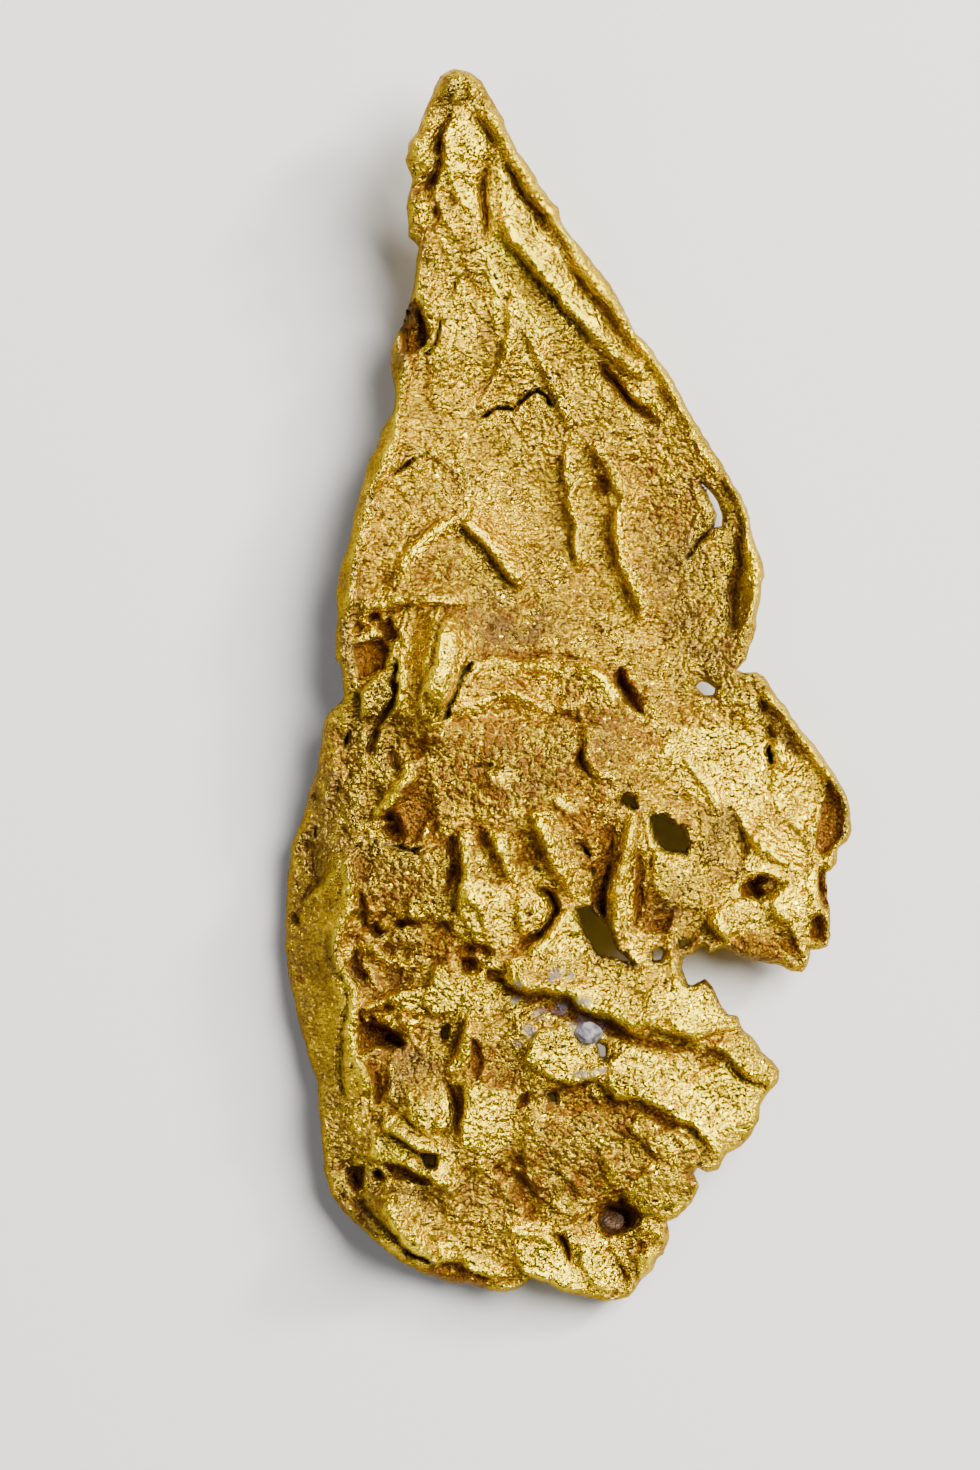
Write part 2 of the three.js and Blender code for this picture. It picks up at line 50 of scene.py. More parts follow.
IMAGE_WIDTH, IMAGE_HEIGHT = 980, 1470
VIEW_WIDTH = 0.0392                     # what the frame spans on the leaf's middle plane, in metres
VIEW_CENTRE = (-0.0032, -0.00196)
FOCUS_HEIGHT = 0.003
CAMERA_DISTANCE = 0.4
FLOOR_SIZE = 1.2
FLOOR_COLOUR = "D8D6D2"
SKY_COLOUR = "C8CCD2"
SKY_STRENGTH = 0.1


def linear(hex_colour):
    """An sRGB hex colour as the linear RGBA that Blender's sockets take."""
    channels = [int(hex_colour[i:i + 2], 16) / 255 for i in (0, 2, 4)]
    return [c / 12.92 if c <= 0.04045 else ((c + 0.055) / 1.055) ** 2.4 for c in channels] + [1.0]


def add_node(tree, kind, inputs=None, output=0, **settings):
    """Adds a node with its settings; an input takes a value or another node's output. Gives an output."""
    node = tree.nodes.new(kind)
    for key, value in settings.items():
        setattr(node, key, value)
    for key, value in (inputs or {}).items():
        if isinstance(value, bpy.types.NodeSocket):
            tree.links.new(value, node.inputs[key])
        else:
            node.inputs[key].default_value = value
    return node.outputs[output] if node.outputs else None


def new_material(name):
    material = bpy.data.materials.new(name)
    material.use_nodes = True
    material.node_tree.nodes.clear()
    return material, material.node_tree


def add_object(name, data):
    made = bpy.data.objects.new(name, data)
    bpy.context.scene.collection.objects.link(made)
    return made


camera_data = bpy.data.cameras.new("camera")
camera_data.sensor_width = 36
view_height = VIEW_WIDTH * IMAGE_HEIGHT / IMAGE_WIDTH
camera_data.lens = camera_data.sensor_width * CAMERA_DISTANCE / view_height
camera_data.clip_start = 0.01
camera_data.clip_end = 10
camera = add_object("camera", camera_data)
camera.location = (*VIEW_CENTRE, FOCUS_HEIGHT + CAMERA_DISTANCE)
bpy.context.scene.camera = camera


def area_light(name, place, size, power, colour):
    """A square soft box that shines at the leaf's middle."""
    data = bpy.data.lights.new(name, "AREA")
    data.size = size
    data.energy = power
    data.color = linear(colour)[:3]
    light = add_object(name, data)
    light.location = place
    light.rotation_mode = "QUATERNION"
    light.rotation_quaternion = light.location.to_track_quat("Z", "Y")
    return light


area_light("spark", (0.38, 0.23, 0.26), 0.08, 3.5, "FFFEFA")
area_light("fill", (-0.30, -0.08, 0.40), 0.30, 0.7, "F0F4FF")
area_light("key", (0.25, 0.15, 0.40), 0.30, 8.4, "FFFCF6")

world = bpy.data.worlds.new("studio")
world.use_nodes = True
world.node_tree.nodes["Background"].inputs["Color"].default_value = linear(SKY_COLOUR)
world.node_tree.nodes["Background"].inputs["Strength"].default_value = SKY_STRENGTH
bpy.context.scene.world = world

floor_mesh = bmesh.new()
bmesh.ops.create_grid(floor_mesh, x_segments=1, y_segments=1, size=FLOOR_SIZE / 2)
floor_data = bpy.data.meshes.new("floor")
floor_mesh.to_mesh(floor_data)
floor_mesh.free()
floor = add_object("floor", floor_data)
material, tree = new_material("matt_paper_floor")
shader = add_node(tree, "ShaderNodeBsdfPrincipled", {"Base Color": linear(FLOOR_COLOUR), "Roughness": 0.9})
add_node(tree, "ShaderNodeOutputMaterial", {"Surface": shader})
floor_data.materials.append(material)

# ---------------------------------------------------------------- leaf of gold
# One crumpled sheet of crystalline native gold, about a millimetre thick, with rolled rims, steps,
# hollows and torn holes. It grew as one piece, so it is one mesh: a fine grid cut to the outline, raised
# to the face's height, doubled for the back and welded round the rim. Millimetres until the end.

MM = 0.001
CELL = 0.1                  # the grid that the leaf is cut from, and its bounds
LEFT, RIGHT, BOTTOM, TOP = -11.8, 11.7, -25.0, 24.9
SHEET_THICKNESS = 1.0
LEAST_WALL = 0.5
EDGE_STEP = 0.1             # the spacing of the torn outline's points, and how far they stray
RAGGED = 0.05
RIM_RADIUS = 0.3            # how far from the edge the two faces close on each other
RIM_REACH = 0.7             # how far off the nearest edge is looked for
RIM_CELLS = 3               # how many cells round the edge stay fine on the back
WARP_REACH = 1.35           # how far round it a spot height is felt
CREASE_FADE = 1.0           # how slowly creases, fine folds and cracks die out at their ends
FINE_FADE = 0.5
CRACK_FADE = 0.25
CRACK_SIDES = 2.2           # how many half widths out a crack's sides slope, and how far they stray
CRACK_STRAY = 0.04
FINE_POWER = 1.2            # fine folds have rounder sides than creases
WANDER = 0.12               # how far folds and plates stray from their drawn lines
DIRT_AND_SHADE_CORE = 0.22            # dirt and painted shade: half its width in a groove, the width of wall it lies against, the depth that holds the most, and how much of it shows
STEEP_REACH = 0.2           # the depth that holds the most, and how much of it shows
DARKEST_DEPTH = 0.5
DIRT_AND_SHADE_SHARE = 0.4
PLATE_EDGE = 0.18           # the width of a plate's cliff
PLATE_SHARE = 0.8           # how far a plate's finish hides what was there
STEP_SPACING = 0.45         # growth steps
STEP_HEIGHT = 0.12
STEP_EDGE = 0.12            # the share of a step that its edge takes up
WAIST, WAIST_FADE = 2.5, 3.5        # the leaf is crumpled below its waist,
BAND, BAND_FADE = -8.8, 0.8         # but less so to the left of the band's crest,
TIP, TIP_FADE = 16, 6               # and its grain is finer towards the tip
THORN_HEIGHT = 0.28         # soft gold keeps no thin thorns: what stands prouder than this has worn
THORN_WEAR = 0.8
THORN_CELLS, HOLLOW_CELLS, BASIN_CELLS = 4, 3, 12   # how far round a point its height is compared
BACK_SHARE, BACK_LUMPS = 0.4, 0.8   # how much of the face's folds and lumps shows on the back
TABLE_SIZE = 128            # the random tables that noise and facets repeat after
TINY = 1e-6

# The outline, from the notch on the left up to the tip, then round by the wing, the lobe and the foot.
BLADE_EDGE = [
    (-9.05, 0.1), (-9.1, 0.6), (-9.35, 1.1), (-9.35, 2.2), (-9.3, 3), (-9.35, 3.9), (-9.15, 4.9),
    (-8.8, 6.1), (-8.6, 7.1), (-8.25, 8.2), (-8, 9), (-7.55, 10.2), (-7.05, 11), (-7, 11.8), (-7.2, 12.9),
    (-7.05, 13.8), (-6.7, 14.6), (-6.3, 15.6), (-6.05, 17.5), (-6.45, 17.9), (-6.55, 19.2), (-6.35, 20.2),
    (-6.6, 21), (-6.4, 21.7), (-6.1, 22.1), (-5.8, 23), (-5.4, 23.9), (-5.15, 24.35), (-4.6, 24.6),
    (-4, 24.5), (-3.5, 24.15), (-3.15, 23.55), (-2.75, 22.75), (-2.4, 21.9), (-2.1, 21.3), (-1.85, 21.1),
    (-1.3, 20.1), (-0.5, 19.1), (-0.35, 18.6), (0.8, 17.05), (1.7, 16.05), (2.2, 15), (2.6, 14.15),
    (3.3, 13.5), (4.3, 12), (5.1, 10.5), (6, 9.1), (6.9, 7.6), (7.2, 6.8), (7.35, 6), (7.7, 5.2),
    (7.8, 4.4), (7.65, 3.4), (7.45, 2.3), (7.05, 1), (6.7, 0.68),
]
WING_EDGE = [
    (6.95, 0.55), (7.45, 0.58), (7.75, 0.35), (8.15, -0.2), (8.6, -0.75), (8.85, -1.2), (9.5, -1.95),
    (10.1, -2.8), (10.7, -3.6), (11.1, -4.35), (11.32, -5.1), (11.35, -5.8), (11.2, -6.22), (10.8, -6.45),
    (10.7, -7.05), (10.5, -7.4), (10.3, -7.5), (10.36, -8.4), (10.42, -9.3), (10.48, -10), (10.35, -10.42),
    (9.95, -10.55), (9.66, -10.6), (9.58, -11.2), (9.35, -11.5), (8.9, -11.42), (8.2, -11.1), (7.3, -11.06),
    (6.8, -10.78), (6.1, -10.5), (5.55, -10.7), (5.25, -10.42), (4.9, -10.7), (4.55, -10.8),
]
LOBE_EDGE = [
    (4.5, -11.25), (4.75, -11.92), (5, -11.9), (5.35, -11.7), (5.7, -12), (6, -12.7), (6.3, -13.1),
    (6.75, -13.25), (6.95, -13.75), (7.35, -14.05), (7.65, -14.6), (8.1, -14.95), (8.45, -15.4),
    (8.3, -15.95), (7.95, -16.25), (7.65, -16.8), (7.6, -17.4), (7.3, -17.95), (6.9, -18.4), (6.25, -18.75),
    (5.9, -19.35), (5.5, -19.5), (5.1, -19.25), (4.92, -19.45), (5.05, -19.72), (5.2, -20.1), (4.9, -20.7),
    (4.3, -21.33), (3.9, -21.5), (4.05, -22.1), (3.8, -22.8), (3.5, -22.95), (3.4, -23.4), (3.05, -23.75),
    (2.75, -24.05),
]
FOOT_AND_LEFT_EDGE = [
    (2.4, -24.55), (1.8, -24.68), (1.35, -24.68), (0.6, -24.5), (-0.3, -24.3), (-0.9, -23.95),
    (-1.5, -23.75), (-1.85, -24.08), (-2.5, -24.28), (-3.1, -24.32), (-4, -24.05), (-4.8, -23.98),
    (-5.6, -23.75), (-6.6, -23.2), (-7.6, -22.45), (-8.5, -21.65), (-9.1, -21.1), (-9.6, -20.4),
    (-9.85, -19.4), (-10, -18), (-10.1, -16.4), (-10.12, -15.85), (-10.5, -14.95), (-10.85, -13.6),
    (-11.1, -12.5), (-11.32, -11.6), (-11.42, -10.6), (-11.44, -9.6), (-11.35, -8), (-11.25, -6.6),
    (-10.95, -5.9), (-10.7, -5.1), (-10.4, -4), (-10.15, -3.5), (-10, -2.3), (-9.8, -1.35), (-9.62, -1.04),
    (-9.4, -0.85), (-9.05, -0.45),
]
HOLES = [
    [(5.25, 8.25), (5.9, 7.5), (6.1, 6.9), (6.1, 6.45), (5.8, 6.35), (5.92, 6.9), (5.6, 7.6)],
    [(5, 0.02), (5.3, 0.14), (5.65, 0.06), (5.8, -0.12), (5.72, -0.36), (5.4, -0.36), (5.2, -0.14)],
    [(3.24, -5.2), (3.7, -5.14), (4.56, -5.78), (4.79, -6.34), (4.6, -6.6), (3.79, -6.49), (3.38, -5.8)],
    [(2.03, -4.58), (2.28, -4.32), (2.56, -4.52), (2.65, -4.9), (2.3, -4.72)],
    [(0.26, -8.9), (0.83, -8.94), (1.44, -9.55), (1.82, -10.45), (2.62, -11.3), (1.77, -10.83),
        (1.11, -10.74), (0.75, -10.1), (0.45, -9.3)],
    [(3.35, -10.6), (3.56, -10.48), (3.75, -10.65), (3.62, -10.95), (3.36, -10.98)],
    [(4.38, -10.2), (4.58, -10.14), (4.79, -10.2), (4.5, -10.46)],
    [(-5.1, -13.7), (-4.9, -13.62), (-4.9, -14.05), (-5.08, -14.05)],
    [(-5.9, -18.72), (-5.42, -18.8), (-5.42, -19.2), (-5.8, -19.12)],
    [(1.12, -14.2), (1.4, -14.42), (1.36, -14.85), (1.2, -14.75)],
    [(-0.92, -16.35), (-0.62, -16.35), (-0.5, -16.62), (-0.7, -16.62)],
]

# Spot heights of the smooth sheet: x, y and the height of its face over the ground.
SPOT_HEIGHTS = [
    # the blade, from the tip down
    (-4.6, 24.3, 4.4), (-4, 22.4, 5), (-6, 21.4, 4.5), (-2.6, 21.4, 3.8), (-6.1, 18.6, 4.3),
    (-3.6, 18.6, 3.9), (-0.8, 18.4, 3.4), (-6.2, 15, 3.5), (-3, 15, 3), (1.7, 15, 2.7), (-6.7, 11.3, 2.9),
    (-3, 11, 2.3), (1, 11.3, 2.4), (4.5, 11.2, 2.2), (-8.2, 7.2, 3.1), (-5.2, 7.6, 2.8), (-1.2, 7.4, 1.7),
    (2.8, 7.2, 1.5), (5.3, 7, 1.8), (7.1, 7, 2.3), (-9, 3.2, 3.2), (-6, 3.8, 3.4), (-2.2, 3.6, 2.8),
    (1.8, 3.4, 1.8), (5.2, 3.6, 1.9), (7.5, 3.6, 2.4),
    # the waist
    (-8.6, 0.2, 3.7), (-5.6, 0.4, 4.5), (-2.2, 0.2, 2.8), (1.2, 0.4, 3.1), (4.4, 0.4, 2.3), (7.4, 0.2, 3.2),
    # the middle and the wing
    (-9.6, -3, 2.3), (-7.4, -3, 3.7), (-4.6, -3, 3.7), (-1, -3, 4), (2.2, -2.8, 3.9), (4.6, -3, 2.8),
    (7, -3.6, 2.2), (9.4, -4.2, 1.5), (11, -4.6, 1.4), (-10.8, -6, 1.2), (-8.8, -6, 3.8), (-6.5, -5.4, 3.1),
    (-4, -6, 3.8), (-1, -6, 4.1), (2.3, -7, 3.8), (5, -6.8, 2.9), (7.6, -6.2, 2.4), (11, -6, 1.5),
    (4, -9, 2.8), (6.5, -9.3, 3), (8.2, -1.4, 2.2), (9, -8.5, 2.8), (10.3, -8.5, 3.1), (8.5, -10.8, 2),
    # the left band and the hollows beside it
    (-11.2, -9, 1), (-8.9, -8.8, 3.8), (-7.6, -9.3, 3.1), (-5, -9, 3.8), (-3, -9, 4), (-1, -9, 3.6),
    (0.8, -8, 3), (-11, -12, 1), (-8.8, -12, 3.8), (-7, -11.2, 3.2), (-4.5, -12, 3.5), (-1.5, -12, 3.8),
    (1.5, -12, 4.1), (4.5, -12.5, 4.5), (-10.3, -15, 1.2), (-8.5, -15, 3.7), (-7, -14.2, 2.3),
    (-4.3, -14, 3.6), (-1.5, -14.5, 3.9), (1.5, -14.5, 3.8), (5, -15.5, 3.9), (7.6, -15.3, 3.2),
    # the foot
    (-9.6, -18, 2), (-7.8, -17.5, 3.3), (-5.2, -17.3, 3.7), (-2, -17.5, 3.4), (1.5, -17.8, 3.4),
    (3.6, -18.6, 3.6), (4.6, -19.2, 3.3), (6.3, -17.3, 3), (7.3, -17.3, 2.8), (-9, -20.8, 1.6),
    (-6.8, -21.3, 3.6), (-4, -21, 2.5), (-1.5, -21, 2.4), (2, -21, 2.3), (4.5, -20.7, 2.6),
    (-5.5, -23.6, 1.2), (-3.2, -23.6, 2.1), (0, -22.8, 2.5), (2.2, -23.2, 1.3), (3.2, -23, 1.6),
]

# Ridges and grooves: height, reach to the left of the line, reach to its right, and the line. A line
# runs down or to the right, so its left is the leaf's right side, or the side nearer the tip.
CREASES = [
    # the blade: its raised rims, and the groove inside the right one
    (0.55, 0.42, 0.5, [(-3.5, 23.4), (-2.5, 21.5), (-1, 19.2), (0.3, 17.2), (1.9, 15), (3.5, 12.9),
        (4.8, 10.4), (6.2, 8.2), (6.9, 6.8), (7.4, 5), (7.3, 3.3), (6.9, 1.5)]),
    (-0.2, 0.3, 0.45, [(-3.9, 23.2), (-3.3, 21.9), (-2, 19.8), (0.1, 16.8), (1.8, 14.1), (3, 13.1),
        (4.5, 10.8), (5.9, 8.9), (6.5, 7.3), (6.75, 5.2), (6.6, 3.4), (6.5, 1.9)]),
    (0.8, 1, 0.42, [(-5.9, 17), (-6, 15.3), (-6.7, 12.6), (-7.1, 10), (-7.9, 8.2), (-8.4, 6.2),
        (-8.8, 4.2), (-8.95, 2.6)]),
    # the blade: steps and troughs in its face
    (0.45, 1.4, 0.25, [(-3.4, 18.4), (-2.4, 17.7), (-1.3, 16.4), (0, 15), (0.9, 14), (3.1, 12.2)]),
    (-0.6, 0.35, 0.35, [(1.2, 13.1), (2.2, 11.5), (3.7, 10.4)]),
    (-0.4, 0.3, 0.35, [(-4.8, 23.2), (-5.2, 21.5), (-5.6, 19.8), (-5.3, 18.2)]),
    (-0.35, 0.3, 0.3, [(-3, 21.3), (-3.6, 20.1), (-3.35, 17.6)]),
    (0.35, 1.4, 0.22, [(-0.4, 9.6), (-0.2, 7.4), (0, 6), (0.25, 4.5)]),
    (0.5, 1.6, 0.25, [(0.5, 9.9), (1.6, 8.2), (1.7, 6.3), (2.1, 4.4), (2.7, 3), (2.6, 2.3)]),
    (0.5, 0.25, 1.4, [(-7.4, 4.2), (-6.3, 5.7), (-4.5, 7), (-4.1, 7)]),
    (0.7, 1.5, 0.3, [(-4.7, 7.2), (-3.9, 6.3), (-2.5, 4.7), (-1.7, 3.7)]),
    (0.7, 1.2, 0.35, [(-8.6, 2.8), (-7, 3.4), (-5, 3.3), (-3.8, 3.2)]),
    # the waist: the horn, the fissure left of it, and the arched folds
    (0.7, 1.7, 0.6, [(-4.8, 3.1), (-5.1, 1.4), (-5.5, 0), (-5.6, -1.5), (-5.75, -2.9)]),
    (-0.3, 0.25, 0.25, [(-7, 0.9), (-7.15, -0.5), (-7.6, -1.7), (-8.1, -3)]),
    (0.45, 0.35, 1.1, [(0.1, 1.1), (1, 0.8), (1.7, 0), (2.2, -1)]),
    (-0.6, 0.42, 0.35, [(2, 1), (2.1, 0), (3, -1.2)]),
    (0.5, 0.42, 0.9, [(-4.3, -0.6), (-2.5, -0.1), (-1, -0.8)]),
    # the middle: steps down to the left, and the crest over the brown hollows
    (0.5, 0.7, 0.4, [(-7.8, -5.5), (-6.9, -4.4), (-6.2, -3.3), (-5.7, -2.7)]),
    (0.5, 1.8, 0.39, [(-4.3, -5.6), (-4.25, -7.5), (-4.3, -9.2)]),
    (0.5, 1, 0.35, [(-3.4, -5.5), (-2.8, -6.7), (-2.2, -7.9)]),
    (0.7, 1.2, 0.35, [(-1.8, -5), (-1.1, -6.2), (-0.6, -7.2), (0, -8.2)]),
    (-0.8, 0.35, 0.35, [(-2.4, -10.6), (-1.4, -10.1), (-0.6, -9.2), (-0.7, -8.3), (-1.6, -7.9)]),
    (1, 0.42, 0.42, [(2.6, -4.9), (2.2, -6.3), (1.9, -8), (1.85, -9.6), (2.2, -10.4)]),
    (0.6, 1.3, 0.35, [(5.4, -8.7), (5.8, -9.8), (6.6, -10.5)]),
    # the wing's curled rim, and the fold across its foot
    (0.7, 0.3, 0.4, [(7.6, 0.2), (9.1, -1.7), (10.3, -3.3), (11.05, -4.6), (11.15, -6)]),
    (0.4, 1.1, 0.3, [(6.8, -5.6), (7.6, -6.6), (8.4, -7.1)]),
    (-0.6, 0.35, 0.35, [(10, -7.2), (10.1, -8.5), (10.3, -9.2)]),
    # the left band's crest, and the webs between its hollows
    (1, 0.42, 1.8, [(-8.9, -6.4), (-8.76, -8.1), (-8.85, -9.1), (-9.37, -9.9), (-9.3, -10.8), (-8.7, -12),
        (-8.45, -13.5), (-8.3, -15), (-8, -16.5)]),
    (0.8, 0.35, 0.35, [(-8.3, -12.95), (-7.2, -12.4), (-5.8, -11.9)]),
    (-0.4, 0.3, 0.3, [(-4.2, -13.2), (-4.6, -14.2), (-5, -15.3)]),
    (0.7, 0.35, 0.35, [(-4, -13.3), (-4.1, -14.5), (-4.2, -15.6)]),
    (-0.4, 0.3, 0.3, [(-5, -15.3), (-4.65, -16.7), (-4.5, -18)]),
    # the step across the lower half, the lobe's edge, and the foot
    (0.35, 1.5, 0.3, [(-2.9, -11.7), (-1.7, -12.2), (0, -12.25), (0.9, -13.1), (2.5, -13.6), (4.1, -13.85),
        (5.4, -14.1)]),
    (0.25, 1.4, 0.25, [(-0.2, -15.8), (1.1, -15.5), (1.6, -16.3), (2.8, -16.5), (4.7, -17.4), (5.5, -18.2),
        (5.8, -18.9)]),
    (0.5, 1, 0.42, [(-6.9, -19), (-5.5, -19.9), (-4.2, -20.3)]),
    (0.65, 1.2, 0.42, [(-7.7, -20), (-7.1, -21.2), (-6.5, -22.3), (-5.6, -23.1), (-4.7, -23.2)]),
]

# Lumps and hollows: centre x and y, reach along x and y, and height.
BOSSES = [
    (-4.4, 24, 0.9, 0.7, 0.6), (-5.9, 21.5, 0.9, 1.1, 0.6), (-6.2, 18.8, 0.8, 1, 0.5),
    (-6.35, 14.3, 0.7, 1.3, -0.4), (-7.5, 2.3, 1.1, 0.8, -0.8), (-7.2, -5.8, 0.8, 0.9, -0.4),
    (-7.6, -9.7, 1, 1, -0.7), (-7.4, -11, 2, 1.4, -0.4), (-7.3, -13.8, 1.1, 1.1, -0.6),
    (-8.6, -19.7, 0.6, 0.8, -0.8), (-7.7, -19.5, 0.4, 0.5, -0.5), (7.3, -8.1, 0.6, 0.8, -0.9),
    (-3.8, -11.2, 0.7, 0.9, -0.7), (1.9, -21.2, 1.1, 1.1, -1.1), (3.3, -21.9, 0.8, 0.7, 0.6),
    (3.15, -23, 0.6, 0.7, 0.5),
]

BACK_CREASES = [
    (0.8, 0.7, 1.4, [(-5.6, 20.5), (-5.9, 16), (-5.4, 11), (-6.2, 6)]),
    (0.7, 1.3, 0.7, [(0.5, 13), (-1.5, 8), (-2.4, 3)]),
    (0.7, 0.7, 1.2, [(5.8, 7), (4.2, 3), (4.6, -1)]),
    (0.9, 1.5, 0.8, [(-7.2, 1), (-6.4, -4), (-7.6, -9), (-6.8, -14)]),
    (0.8, 0.8, 1.5, [(-2.2, -1.5), (0.6, -4.5), (1.2, -8)]),
    (0.6, 1, 0.7, [(5.5, -3), (7.8, -6.2), (8.2, -9.5)]),
    (0.9, 0.8, 1.4, [(-3.4, -10.5), (-1, -14), (2.8, -16.2)]),
    (0.7, 1.2, 0.7, [(-7.4, -18.5), (-4, -19.5), (-0.5, -20.2)]),
]

# Where the leaf touches the ground its back is worn flat: centre x and y, and reach along x and y.
FEET = [(0.8, 7.3, 3.0, 2.2), (-9.9, -10.5, 1.5, 3.2), (8.2, -4.0, 2.2, 2.4), (0.8, -22.6, 2.4, 1.6)]
FOOT_FLAT = 0.55

